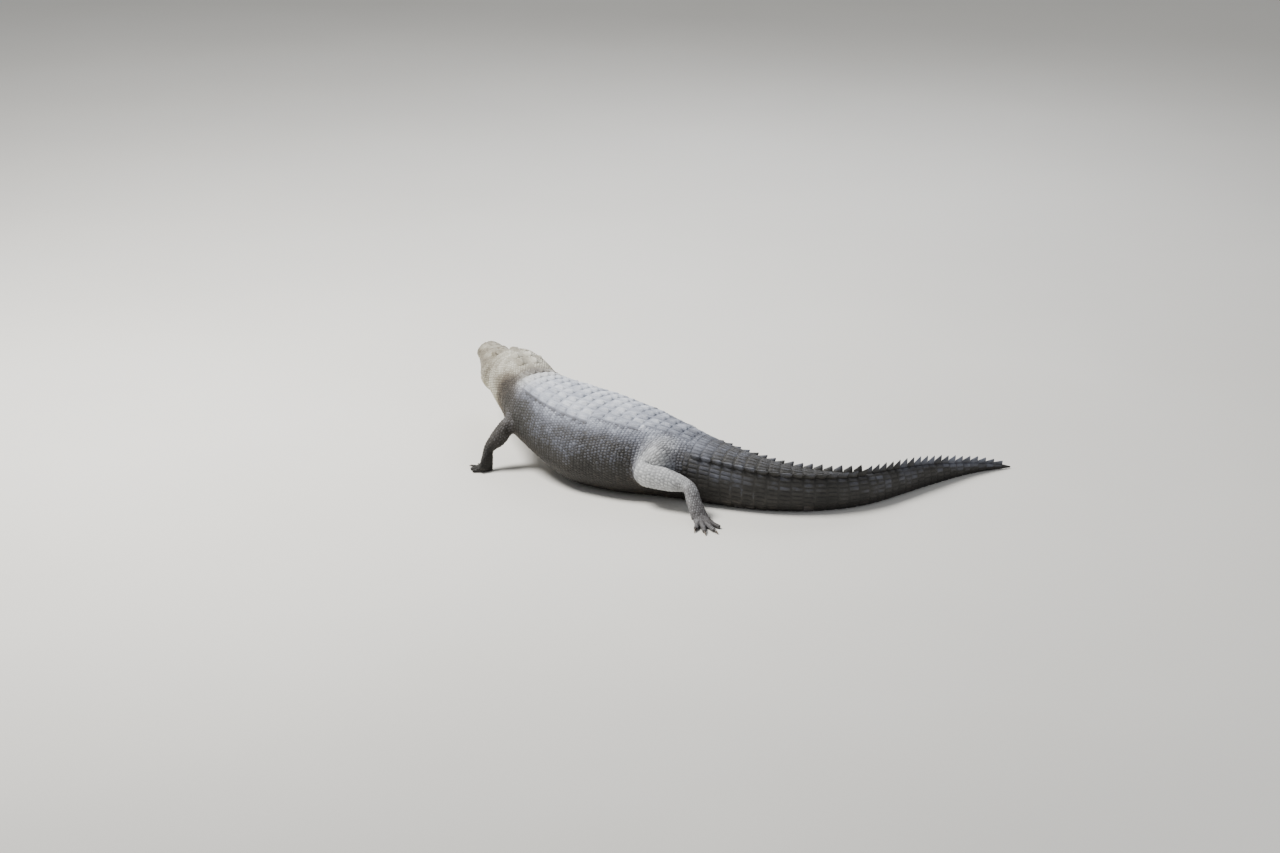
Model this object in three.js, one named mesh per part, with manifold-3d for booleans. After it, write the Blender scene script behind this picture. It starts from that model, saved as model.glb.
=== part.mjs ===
// American alligator, adult, as a still model on a flat floor. The head is raised and turned to the right,
// the chest is lifted on the forelegs, the belly and the tail lie on the floor, and the tail bends right.
// Millimetres, +Z up. The head is towards -X and the animal's left side faces -Y. The origin is the point of
// the floor under the midline at the middle of the trunk.
import * as THREE from 'three';
import { mergeVertices } from 'three/addons/utils/BufferGeometryUtils.js';
import { ConvexGeometry } from 'three/addons/geometries/ConvexGeometry.js';
import Module from 'manifold-3d';

const wasm = await Module();
wasm.setup();

// Driving dimensions
const TOTAL_LENGTH = 2750; // along the midline, snout tip to tail tip
const HEAD_LENGTH = 372; // snout tip to the plane where the neck starts
const NECK_END = 575;
const SHOULDER_AT = 690;
const TRUNK_MIDDLE = 985; // the origin's place along the midline
const HIP_AT = 1335;
const TORSO_END = 1410;
const GAP = 0.3; // between one node and the next

// Heading of the midline in degrees anticlockwise from +X, against distance from the snout tip
const HEADING_TABLE = [
  [0, 108],
  [372, 108],
  [470, 109],
  [575, 112],
  [700, 125],
  [800, 138],
  [1150, 148],
  [1400, 150],
  [1600, 156],
  [1800, 177],
  [2000, 200],
  [2120, 215],
  [2250, 219],
  [2450, 216],
  [2750, 192],
];

// Upward tilt of the section planes in degrees, where the neck rises from the trunk
const TILT_TABLE = [[0, 0], [372, 0], [470, 4], [600, 8], [800, 0], [2750, 0]];

// Outline of neck, trunk and tail: distance from the snout, half width, underside, widest level and back
const BODY_TABLE = [
  { at: 372, half: 112, under: 152, widest: 214, back: 338 },
  { at: 470, half: 120, under: 130, widest: 212, back: 350 },
  { at: 575, half: 128, under: 112, widest: 200, back: 336 },
  { at: 700, half: 158, under: 84, widest: 180, back: 326 },
  { at: 850, half: 206, under: 26, widest: 148, back: 314 },
  { at: 985, half: 230, under: -12, widest: 128, back: 302 },
  { at: 1130, half: 216, under: -14, widest: 118, back: 286 },
  { at: 1290, half: 160, under: -10, widest: 110, back: 262 },
  { at: 1400, half: 126, under: -10, widest: 102, back: 238 },
  { at: 1600, half: 92, under: -8, widest: 84, back: 196 },
  { at: 1800, half: 68, under: -6, widest: 66, back: 156 },
  { at: 2050, half: 44, under: -5, widest: 48, back: 118 },
  { at: 2300, half: 27, under: -4, widest: 38, back: 94 },
  { at: 2550, half: 12, under: -2, widest: 22, back: 52 },
  { at: 2700, half: 5, under: -1, widest: 12, back: 24 },
  { at: 2750, half: 2, under: 0.5, widest: 5, back: 9 },
];
const UPPER_SQUARENESS = 2.3;
const LOWER_SQUARENESS = 2.4;

// Dorsal shield of keeled scutes, raised in the surface of the torso
const SHIELD = {
  from: NECK_END + 14,
  to: TORSO_END - 6,
  columns: [6, 6, 8, 8, 8, 8, 8, 8, 8, 6, 6, 6, 6, 4, 4, 4, 4], // scutes across, row by row from the neck
  halfColumn: 4.8, // degrees round the body
  keel: 10,
  plate: 3,
  peakAt: 0.74, // part way along each scute
};

// Nuchal shield: two pairs of large scutes and smaller ones beside and before them, by angle from the midline
const NUCHAL_SCUTES = [
  { at: 408, angle: 12, length: 26, width: 26, height: 9 },
  { at: 468, angle: 10, length: 50, width: 40, height: 15 },
  { at: 476, angle: 30, length: 34, width: 30, height: 10 },
  { at: 524, angle: 10, length: 46, width: 40, height: 15 },
];

// Crests of the tail: two rows that draw together, then one to the tip, with a blade for each ring of scales
const CREST = { from: TORSO_END + 12, merge: 2056, to: 2716, pairs: 16, singles: 19, thickness: 11 };
const CREST_SPREAD = [[CREST.from, 50], [1700, 42], [1950, 24], [CREST.merge, 12]];
const CREST_HEIGHT = [[CREST.from, 15], [1700, 24], [CREST.merge, 30], [2300, 34], [2600, 22], [2750, 8]];
const PAIR_LENGTH = (CREST.merge - CREST.from) / CREST.pairs;
const SINGLE_LENGTH = (CREST.to - CREST.merge) / CREST.singles;

// Lengths of the tail, each ending between two blades
const TAIL_LENGTHS = [
  { name: 'tail_base', end: CREST.from + 6 * PAIR_LENGTH, sections: 6, sides: 24 },
  { name: 'tail_front', end: CREST.from + 11 * PAIR_LENGTH, sections: 5, sides: 22 },
  { name: 'tail_middle', end: CREST.merge + SINGLE_LENGTH, sections: 6, sides: 20 },
  { name: 'tail_rear', end: CREST.merge + 9 * SINGLE_LENGTH, sections: 6, sides: 18 },
  { name: 'tail_end', end: TOTAL_LENGTH, sections: 8, sides: 14 },
];

// The head's outline against distance from the snout tip. Heights are from the level of the mouth.
const LIP_HALF = [
  [0, 10],
  [5, 27],
  [16, 43],
  [40, 56],
  [75, 57],
  [105, 65],
  [150, 75],
  [200, 88],
  [250, 103],
  [300, 117],
  [340, 120],
  [372, 112],
];
const SKULL_HEIGHT = [
  [0, 14],
  [8, 27],
  [26, 40],
  [58, 38],
  [100, 40],
  [150, 46],
  [200, 57],
  [240, 64],
  [330, 84],
  [372, 124],
];
const JAW_DEPTH = [
  [6, 8],
  [16, 17],
  [40, 23],
  [90, 26],
  [150, 32],
  [220, 42],
  [280, 52],
  [330, 60],
  [372, 62],
];
const MOUTH_LINE = [[0, 2], [30, 0], [60, -4], [100, 3], [150, -4], [200, 4], [250, -3], [300, 5], [372, 0]];
const NECK_BLEND = [332, HEAD_LENGTH]; // the head's sections turn into the neck's over this stretch
const JAW = { inset: 9, front: 9, chin: 34 }; // the lip's overhang, where the jaw starts and its chin ends
const EYE = { u: 238, y: 40, z: 66, radius: 14, lid: 3.5 };
const LID_RADII = [24, 17, 17];
const LID_OPENING = [13, 9, 7.5];
const BROW_PLATE = { y: 36, z: 78, radii: [22, 14, 6] };
const SKULL_TABLE = { from: 252, to: 336, half: 50, edge: 12, height: 19 };
const NOSTRIL = { u: 24, y: 12, above: 9, radii: [8, 5, 6] };
const EAR_SLIT = { u: 290, y: 56, above: 2, radii: [24, 5, 4] };

// Upper teeth outside the lower jaw, as a row of lengths with two swellings
const TOOTH_ROW = { from: 14, to: 216, count: 13, outside: 4.5 };
const TOOTH_LENGTH = [[14, 6], [40, 9], [58, 14], [80, 8], [100, 8], [145, 13], [180, 8], [216, 7]];

// Half widths across and through: at the start, the middle and the end of each stretch of a limb
const GIRTHS = {
  fore: {
    upper: [[50, 50], [46, 44], [37, 35]],
    lower: [[30, 28], [33, 30], [24, 20]],
    foot: [[19, 16], [30, 14], [36, 11]],
    digit: 9,
    web: 0.3,
  },
  hind: {
    upper: [[92, 74], [94, 78], [58, 50]],
    lower: [[45, 42], [45, 41], [29, 26]],
    foot: [[23, 20], [34, 16], [42, 12]],
    digit: 11,
    web: 0.62,
  },
};

// Digits from the inner to the outer one: angle to the foot in degrees, length, and length of the claw
const FORE_DIGITS = [
  { angle: -46, length: 44, claw: 18 },
  { angle: -22, length: 58, claw: 22 },
  { angle: 2, length: 62, claw: 22 },
  { angle: 27, length: 56 },
  { angle: 54, length: 46 },
];
const HIND_DIGITS = [
  { angle: -30, length: 78, claw: 26 },
  { angle: -10, length: 100, claw: 30 },
  { angle: 10, length: 104, claw: 28 },
  { angle: 31, length: 88 },
];

// Each leg: its girdle's place, its side, the way the toes point, and its joints from the root to the ball of
// the foot. A joint is forward, outward and up from the floor under the girdle.
const LEGS = [
  {
    name: 'foreleg_left',
    at: SHOULDER_AT,
    side: 1,
    toes: 12,
    joints: [[0, 60, 205], [0, 166, 160], [8, 252, 76], [-10, 276, 11]],
  },
  {
    name: 'foreleg_right',
    at: SHOULDER_AT,
    side: -1,
    toes: 24,
    joints: [[0, 60, 205], [-30, 176, 132], [30, 206, 42], [62, 220, 11]],
  },
  {
    name: 'hindleg_left',
    at: HIP_AT,
    side: 1,
    toes: 138,
    joints: [[8, 40, 152], [58, 170, 121], [-130, 178, 101], [-216, 244, 18]],
  },
  {
    name: 'hindleg_right',
    at: HIP_AT,
    side: -1,
    toes: 30,
    joints: [[0, 40, 146], [118, 202, 96], [-30, 226, 50], [36, 256, 12]],
  },
];

// A monotone cubic through [x, y] points
function curveThrough(points) {
  const steps = points.slice(1).map((p, i) => (p[1] - points[i][1]) / (p[0] - points[i][0]));
  const slopes = points.map((_, i) => {
    if (i === 0) return steps[0];
    if (i === points.length - 1) return steps[i - 1];
    return steps[i - 1] * steps[i] <= 0 ? 0 : (2 * steps[i - 1] * steps[i]) / (steps[i - 1] + steps[i]);
  });
  return (x) => {
    const last = points.length - 2;
    const found = points.findIndex((_, i) => i > last - 1 || x <= points[i + 1][0]);
    const [x0, y0] = points[found];
    const [x1, y1] = points[found + 1];
    const span = x1 - x0;
    const t = THREE.MathUtils.clamp((x - x0) / span, 0, 1);
    return (
      y0 * (1 + 2 * t) * (1 - t) ** 2 +
      y1 * t * t * (3 - 2 * t) +
      span * t * (1 - t) * (slopes[found] * (1 - t) - slopes[found + 1] * t)
    );
  };
}

const { degToRad: radians, smoothstep, lerp, seededRandom } = THREE.MathUtils;
const evenly = (from, to, steps) => Array.from({ length: steps + 1 }, (_, i) => lerp(from, to, i / steps));
const signedPower = (value, power) => Math.sign(value) * Math.abs(value) ** power;

seededRandom(11);
const varied = (size, share) => size * (1 + share * (2 * seededRandom() - 1));

const heading = curveThrough(HEADING_TABLE);
const tilt = curveThrough(TILT_TABLE);
const half = curveThrough(BODY_TABLE.map((row) => [row.at, row.half]));
const under = curveThrough(BODY_TABLE.map((row) => [row.at, row.under]));
const widest = curveThrough(BODY_TABLE.map((row) => [row.at, row.widest]));
const back = curveThrough(BODY_TABLE.map((row) => [row.at, row.back]));
const crestSpread = curveThrough(CREST_SPREAD);
const crestHeight = curveThrough(CREST_HEIGHT);
const lipHalf = curveThrough(LIP_HALF);
const skullHeight = curveThrough(SKULL_HEIGHT);
const jawDepth = curveThrough(JAW_DEPTH);
const mouthLine = curveThrough(MOUTH_LINE);
const toothLength = curveThrough(TOOTH_LENGTH);

// The midline on the floor, traced in small steps from the origin both ways
const MIDLINE_STEP = 5;
const midline = new Map([[TRUNK_MIDDLE, new THREE.Vector2(0, 0)]]);
for (const way of [1, -1]) {
  let point = new THREE.Vector2(0, 0);
  for (let at = TRUNK_MIDDLE; at >= 0 && at <= TOTAL_LENGTH; at += way * MIDLINE_STEP) {
    const angle = radians(heading(at + (way * MIDLINE_STEP) / 2));
    const step = new THREE.Vector2(Math.cos(angle), Math.sin(angle)).multiplyScalar(-way * MIDLINE_STEP);
    point = point.clone().add(step);
    midline.set(at + way * MIDLINE_STEP, point);
  }
}

// The frame of the body at a distance from the snout: a point of the floor, and forward, left and up
function station(at) {
  const before = Math.floor(at / MIDLINE_STEP) * MIDLINE_STEP;
  const after = midline.get(before + MIDLINE_STEP);
  const spot = midline.get(before).clone().lerp(after, (at - before) / MIDLINE_STEP);
  const angle = radians(heading(at));
  return {
    floor: new THREE.Vector3(spot.x, spot.y, 0),
    forward: new THREE.Vector3(Math.cos(angle), Math.sin(angle), 0),
    left: new THREE.Vector3(-Math.sin(angle), Math.cos(angle), 0),
    up: new THREE.Vector3(0, 0, 1),
  };
}

// A point of the body's surface, never under the floor. The angle runs from the left side (0) over the back
// (90) to the belly (270). raise lifts the point off the surface.
function bodyPoint(at, degrees, raise = 0) {
  const { floor, forward, left, up } = station(at);
  const angle = radians(degrees);
  const upper = Math.sin(angle) > 0;
  const power = 2 / (upper ? UPPER_SQUARENESS : LOWER_SQUARENESS);
  const reach = (half(at) + raise) * signedPower(Math.cos(angle), power);
  const height = (upper ? back(at) - widest(at) : widest(at) - under(at)) + raise;
  const lean = radians(tilt(at));
  const plane = up.clone().multiplyScalar(Math.cos(lean)).addScaledVector(forward, -Math.sin(lean));
  const point = floor
    .clone()
    .addScaledVector(up, widest(at))
    .addScaledVector(left, reach)
    .addScaledVector(plane, height * signedPower(Math.sin(angle), power));
  point.z = Math.max(point.z, 0);
  return point;
}

// The surface's own directions at a point of the body
function surfaceAt(at, degrees) {
  const centre = bodyPoint(at, degrees);
  const along = bodyPoint(at - 4, degrees).sub(bodyPoint(at + 4, degrees)).normalize();
  const across = bodyPoint(at, degrees + 2).sub(bodyPoint(at, degrees - 2)).normalize();
  const out = new THREE.Vector3().crossVectors(across, along).normalize();
  if (out.dot(bodyPoint(at, degrees, 10).sub(centre)) < 0) out.negate();
  return { centre, along, across, out };
}

function solidOf(geometry) {
  const bare = new THREE.BufferGeometry().setAttribute('position', geometry.getAttribute('position'));
  if (geometry.index) bare.setIndex(geometry.index);
  const merged = mergeVertices(bare, 1e-3);
  return new wasm.Manifold(
    new wasm.Mesh({
      numProp: 3,
      vertProperties: new Float32Array(merged.attributes.position.array),
      triVerts: new Uint32Array(merged.index.array),
    }),
  );
}

function geometryOf(solid) {
  const mesh = solid.getMesh();
  const places = new Float32Array(mesh.numVert * 3);
  for (let i = 0; i < mesh.numVert; i += 1) {
    places.set(mesh.vertProperties.subarray(i * mesh.numProp, i * mesh.numProp + 3), i * 3);
  }
  const geometry = new THREE.BufferGeometry()
    .setAttribute('position', new THREE.BufferAttribute(places, 3))
    .setIndex(new THREE.BufferAttribute(new Uint32Array(mesh.triVerts), 1));
  geometry.computeVertexNormals();
  return geometry;
}

const largest = (solid) => solid.decompose().sort((a, b) => b.volume() - a.volume())[0];
const unionOf = (solids) => solids.reduce((sum, next) => sum.add(next));
const hullOf = (points) => solidOf(new ConvexGeometry(points));

// A closed skin over rings of points, with a fan on each end, turned so that its faces point out
function loft(rings) {
  const sides = rings[0].length;
  const places = rings.flat();
  const triangles = [];
  for (let row = 0; row < rings.length - 1; row += 1) {
    for (let i = 0; i < sides; i += 1) {
      const a = row * sides + i;
      const b = row * sides + ((i + 1) % sides);
      triangles.push([a, b, b + sides], [a, b + sides, a + sides]);
    }
  }
  const middle = (ring) => ring.reduce((sum, p) => sum.add(p), new THREE.Vector3()).divideScalar(sides);
  const first = places.length;
  const lastRow = first - sides;
  places.push(middle(rings[0]), middle(rings.at(-1)));
  for (let i = 0; i < sides; i += 1) {
    const next = (i + 1) % sides;
    triangles.push([first, next, i], [first + 1, lastRow + i, lastRow + next]);
  }
  const geometry = new THREE.BufferGeometry().setFromPoints(places);
  const made = solidOf(geometry.setIndex(triangles.flat()));
  if (made.volume() > 0) return made;
  return solidOf(geometry.setIndex(triangles.map(([a, b, c]) => [a, c, b]).flat()));
}

// Heights of the shield across one row, at steps of half a column, with keels between the plates' edges
const mostColumns = Math.max(...SHIELD.columns);
const shieldSteps = evenly(-mostColumns, mostColumns, 2 * mostColumns);
const peakHeights = (columns) =>
  shieldSteps.map((step) => {
    if (Math.abs(step) >= columns) return 0;
    const outward = 1 - 0.45 * (Math.abs(step) / columns);
    return outward * (step % 2 === 0 ? SHIELD.plate : varied(SHIELD.keel, 0.2));
  });

// Lines of points round the torso: where each is, and the shield's heights on it
const rowLength = (SHIELD.to - SHIELD.from) / SHIELD.columns.length;
const level = shieldSteps.map(() => 0);
const torsoLines = [
  { at: NECK_END + GAP / 2, heights: level },
  ...SHIELD.columns.flatMap((columns, row) => [
    { at: SHIELD.from + row * rowLength, heights: level },
    { at: SHIELD.from + (row + SHIELD.peakAt) * rowLength, heights: peakHeights(columns) },
  ]),
  { at: SHIELD.to, heights: level },
  { at: TORSO_END - GAP / 2, heights: level },
];

function torsoSolid(grow = 0) {
  const shieldEdge = mostColumns * SHIELD.halfColumn;
  const flanks = evenly(90 + shieldEdge, 450 - shieldEdge, 19).slice(1, -1);
  const rings = torsoLines.map(({ at, heights }) => [
    ...shieldSteps.map((step, i) => bodyPoint(at, 90 + step * SHIELD.halfColumn, heights[i] + grow)),
    ...flanks.map((degrees) => bodyPoint(at, degrees, grow)),
  ]);
  return loft(rings);
}

// A plain length of neck or tail
function lengthOfBody(from, to, sections, sides) {
  const around = evenly(0, 360, sides).slice(1);
  const rings = evenly(from + GAP / 2, to - GAP / 2, sections);
  return loft(rings.map((at) => around.map((degrees) => bodyPoint(at, degrees))));
}

// A point off a surface: shares along and across it, and a height out of it
const offSurface = ({ centre, along, across, out }, x, y, z) =>
  centre.clone().addScaledVector(along, x).addScaledVector(across, y).addScaledVector(out, z);

// A keeled plate with its root sunk in the surface
function keeledPlate(surface, { length, width, height }) {
  const rim = 2.5;
  const sink = 6;
  const corners = evenly(22.5, 337.5, 7).map((degrees) => [
    0.54 * length * Math.cos(radians(degrees)),
    0.54 * width * Math.sin(radians(degrees)),
  ]);
  const edge = corners.flatMap(([x, y]) => [-sink, rim].map((z) => offSurface(surface, x, y, z)));
  const keelTop = varied(height, 0.12);
  const keel = [[-0.3, 1], [0.32, 0.5]].map(([x, z]) => offSurface(surface, x * length, 0, z * keelTop));
  return hullOf([...edge, ...keel]);
}

function neckSolid() {
  const plates = NUCHAL_SCUTES.flatMap((scute) =>
    [-1, 1].map((side) => keeledPlate(surfaceAt(scute.at, 90 + side * scute.angle), scute)),
  );
  return unionOf([lengthOfBody(HEAD_LENGTH, NECK_END, 8, 32), ...plates]);
}

// A blade of the tail's crest, with its root sunk and its tip leaning back
function crestBlade(surface, length, height, thickness, sink) {
  const points = [-0.5, 0.5].flatMap((side) => {
    const y = side * thickness;
    return [
      offSurface(surface, 0.5 * length, y, -sink),
      offSurface(surface, -0.5 * length, y, -sink),
      offSurface(surface, 0.4 * length, y, 1),
      offSurface(surface, -0.48 * length, y, 1),
      offSurface(surface, -0.5 * length, y * 0.3, height),
      offSurface(surface, -0.3 * length, y * 0.3, height),
      offSurface(surface, 0.2 * length, y * 0.4, height * 0.55),
    ];
  });
  return hullOf(points);
}

function crestBlades() {
  const pairs = evenly(0.5, CREST.pairs - 0.5, CREST.pairs - 1).flatMap((step) => {
    const at = CREST.from + step * PAIR_LENGTH;
    return [-1, 1].map((side) => {
      const surface = surfaceAt(at, 90 + side * crestSpread(at));
      const height = varied(crestHeight(at), 0.08);
      return { at, solid: crestBlade(surface, PAIR_LENGTH * 0.82, height, CREST.thickness, 7) };
    });
  });
  const singles = evenly(0.5, CREST.singles - 0.5, CREST.singles - 1).map((step) => {
    const at = CREST.merge + step * SINGLE_LENGTH;
    const thickness = Math.min(CREST.thickness, half(at) * 0.6);
    const sink = Math.min(7, half(at) * 0.8);
    const height = varied(crestHeight(at), 0.08);
    return { at, solid: crestBlade(surfaceAt(at, 90), SINGLE_LENGTH * 0.88, height, thickness, sink) };
  });
  return [...pairs, ...singles];
}

// A point of the head in its own frame: u runs back from the snout tip, y to the left, z up from the mouth
const headPoint = (u, y, z) => new THREE.Vector3(HEAD_LENGTH - u, y, z);

// What stands up from the plain vault of the skull: brows, the flat table behind the eyes, the boss of the
// nostrils, the ridges before the eyes and the cheeks
function skullRelief(u, y) {
  const side = Math.abs(y);
  const mound = (height, du, dy) => height * Math.exp(-du * du - dy * dy);
  const { from, to, half: tableHalf, edge, height: tableHeight } = SKULL_TABLE;
  const alongTable = smoothstep(u, from - 14, from + 6) * (1 - smoothstep(u, to, HEAD_LENGTH));
  const acrossTable = 1 - smoothstep(side, tableHalf - edge, tableHalf + edge);
  return (
    tableHeight * alongTable * acrossTable +
    mound(22, (u - EYE.u) / 27, (side - 33) / 17) +
    mound(9, (u - 28) / 20, side / 26) +
    mound(5, (u - 175) / 55, (side - 27) / 9) +
    mound(5, (u - 300) / 35, (side - 92) / 20)
  );
}

// A section of the upper head: the vault from lip to lip, and the palate under it
function skullRing(u) {
  const blend = smoothstep(u, ...NECK_BLEND);
  const base = mouthLine(u) * (1 - blend);
  const power = 2 / lerp(2.25, UPPER_SQUARENESS, blend);
  const wide = lipHalf(u);
  const vault = evenly(0, 180, 18).map((degrees) => {
    const angle = radians(degrees);
    const y = wide * signedPower(Math.cos(angle), power);
    const rise = Math.max(Math.sin(angle), 0) ** power;
    const relief = skullRelief(u, y) * smoothstep(rise, 0, 0.5) * (1 - blend);
    return headPoint(u, y, base + (skullHeight(u) - base) * rise + relief);
  });
  const palate = [-0.5, 0, 0.5].map((share) => headPoint(u, wide * share, base));
  return [...vault, ...palate];
}

// A section of the lower jaw: the round underside, and the flat top along the mouth line
function jawRing(u) {
  const blend = smoothstep(u, ...NECK_BLEND);
  const top = mouthLine(u) * (1 - blend) - GAP;
  const toChin = Math.max(0, (JAW.chin - u) / (JAW.chin - JAW.front));
  const round = Math.max(Math.sqrt(1 - toChin ** 2), 0.12);
  const wide = (lipHalf(u) - JAW.inset * (1 - smoothstep(u, 230, 300))) * round;
  const underside = evenly(180, 360, 14).map((degrees) => {
    const angle = radians(degrees);
    const y = wide * signedPower(Math.cos(angle), 2 / LOWER_SQUARENESS);
    const drop = Math.max(-Math.sin(angle), 0) ** (2 / LOWER_SQUARENESS);
    return headPoint(u, y, top - (jawDepth(u) + top) * drop);
  });
  const mouthFloor = [0.5, 0, -0.5].map((share) => headPoint(u, wide * share, top));
  return [...underside, ...mouthFloor];
}

// An ellipsoid with its radii along the head, across it and up
function headEllipsoid(u, y, z, radii, meridians, parallels) {
  const geometry = new THREE.SphereGeometry(1, meridians, parallels).scale(...radii);
  return solidOf(geometry.translate(...headPoint(u, y, z)));
}

function toothSolid(u, side) {
  const length = varied(toothLength(u), 0.15);
  const y = side * (lipHalf(u) - TOOTH_ROW.outside);
  const root = [[1, 0], [0, 1], [-1, 0], [0, -1]].map(([du, dy]) =>
    headPoint(u + du * length * 0.34, y + dy * 2.8, mouthLine(u) + 4),
  );
  return hullOf([...root, headPoint(u + 1, y, mouthLine(u) - length)]);
}

const HEAD_SECTIONS = [
  ...[1, 5, 12, 22, 34, 48, 62, 80, 100, 122, 144, 164, 182, 198],
  ...evenly(210, 260, 5),
  ...evenly(273, 358, 6),
  HEAD_LENGTH - GAP / 2,
];

function headSolid() {
  const sides = [-1, 1];
  const places = evenly(TOOTH_ROW.from, TOOTH_ROW.to, TOOTH_ROW.count - 1);
  const teeth = sides.flatMap((side) => places.map((u) => toothSolid(u, side)));
  const lids = sides.flatMap((side) => [
    headEllipsoid(EYE.u, side * EYE.y, EYE.z, LID_RADII, 12, 8),
    headEllipsoid(EYE.u, side * BROW_PLATE.y, BROW_PLATE.z, BROW_PLATE.radii, 10, 6),
  ]);
  const socket = EYE.radius + GAP;
  const pits = [NOSTRIL, EAR_SLIT];
  const cuts = sides.flatMap((side) => [
    headEllipsoid(EYE.u, side * EYE.y, EYE.z, [socket, socket, socket], 14, 10),
    headEllipsoid(EYE.u, side * (EYE.y + EYE.radius + EYE.lid), EYE.z, LID_OPENING, 10, 6),
    ...pits.map(({ u, y, above, radii }) => headEllipsoid(u, side * y, skullHeight(u) + above, radii, 8, 6)),
  ]);
  return unionOf([loft(HEAD_SECTIONS.map(skullRing)), ...teeth, ...lids]).subtract(unionOf(cuts));
}

const jawSolid = () => loft([JAW.front, ...HEAD_SECTIONS.filter((u) => u > JAW.front)].map(jawRing));

const eyeSolid = (side) =>
  headEllipsoid(EYE.u, side * EYE.y, EYE.z, [EYE.radius, EYE.radius, EYE.radius], 14, 10);

// Rings along a smooth path through stops, each with a place and its two half widths, and round ends
function limbRings(stops, { sides, sections, grow = 0, reference = new THREE.Vector3(0, 0, 1), ends }) {
  const path = new THREE.CatmullRomCurve3(stops.map((stop) => stop.place), false, 'centripetal');
  const [across, through] = [0, 1].map((i) =>
    curveThrough(stops.map((stop, k) => [k / (stops.length - 1), stop.girth[i]])),
  );
  let sideways = new THREE.Vector3().crossVectors(path.getTangent(0), reference).normalize();
  const frames = evenly(0, 1, sections).map((t) => {
    const tangent = path.getTangent(t);
    sideways = sideways.clone().addScaledVector(tangent, -sideways.dot(tangent)).normalize();
    return { t, tangent, sideways, depth: new THREE.Vector3().crossVectors(tangent, sideways) };
  });
  const ring = (frame, shift, scale) =>
    evenly(0, 360, sides).slice(1).map((degrees) => {
      const angle = radians(degrees);
      const point = path
        .getPoint(frame.t)
        .addScaledVector(frame.tangent, shift)
        .addScaledVector(frame.sideways, (across(frame.t) + grow) * scale * Math.cos(angle))
        .addScaledVector(frame.depth, (through(frame.t) + grow) * scale * Math.sin(angle));
      point.z = Math.max(point.z, 0);
      return point;
    });
  const roundEnd = (frame, way) => {
    const reach = Math.min(across(frame.t), through(frame.t)) + grow;
    return ends.map(([share, scale]) => ring(frame, way * reach * share, scale));
  };
  const start = roundEnd(frames[0], -1).reverse();
  return [...start, ...frames.map((frame) => ring(frame, 0, 1)), ...roundEnd(frames.at(-1), 1)];
}

const ROUND_END = [[0.62, 0.78], [0.92, 0.38]];
const BLUNT_END = [[0.8, 0.62]];
const STRETCHES = {
  upper: { sides: 14, sections: 5, ends: ROUND_END },
  lower: { sides: 12, sections: 4, ends: ROUND_END },
  foot: { sides: 12, sections: 4, ends: ROUND_END },
  digit: { sides: 6, sections: 2, ends: BLUNT_END },
};

const stopsOf = (places, girths) => places.map((place, i) => ({ place, girth: girths[i] }));

// The digits spread from the ball of the foot over the floor
function digitsOf(leg, digits, place, girths) {
  const [ahead, outward] = leg.joints.at(-1);
  return digits.map(({ angle, length, claw }, index) => {
    const turn = radians(leg.toes + angle);
    const reach = (distance, high) =>
      place([ahead + Math.cos(turn) * distance, outward + Math.sin(turn) * distance, high]);
    const thick = girths.digit;
    const places = [reach(0, thick + 3), reach(length * 0.5, thick + 1.5), reach(length, thick * 0.62)];
    const stops = stopsOf(places, [[thick + 1, thick], [thick, thick], [thick * 0.7, thick * 0.68]]);
    return { index, length, claw, reach, thick, rings: limbRings(stops, STRETCHES.digit) };
  });
}

// The web between two neighbouring digits, as a thin plate rooted in both
function webSolid(one, other, share) {
  const points = [one, other].flatMap((digit) =>
    [0.05, share].flatMap((part) => [3, 8].map((high) => digit.reach(digit.length * part, high))),
  );
  return hullOf(points);
}

// A claw that starts just past the flat end of its digit
function clawSolid({ rings, claw, length, thick, reach }) {
  const end = rings.at(-1);
  const centre = end.reduce((sum, p) => sum.add(p), new THREE.Vector3()).divideScalar(end.length);
  const ahead = reach(length + 1, 0).sub(reach(length, 0));
  const sideways = new THREE.Vector3(-ahead.y, ahead.x, 0);
  const start = end.map((p) => centre.clone().lerp(p, 0.9).addScaledVector(ahead, 2 * GAP));
  const bend = evenly(0, 300, 5).map((degrees) =>
    centre
      .clone()
      .addScaledVector(ahead, claw * 0.45)
      .addScaledVector(sideways, thick * 0.24 * Math.cos(radians(degrees)))
      .add(new THREE.Vector3(0, 0, 1.6 + thick * 0.26 * Math.sin(radians(degrees)))),
  );
  const tip = reach(length + thick * 0.5 + claw, 1.2);
  return hullOf([...start, ...bend, tip]);
}

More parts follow.
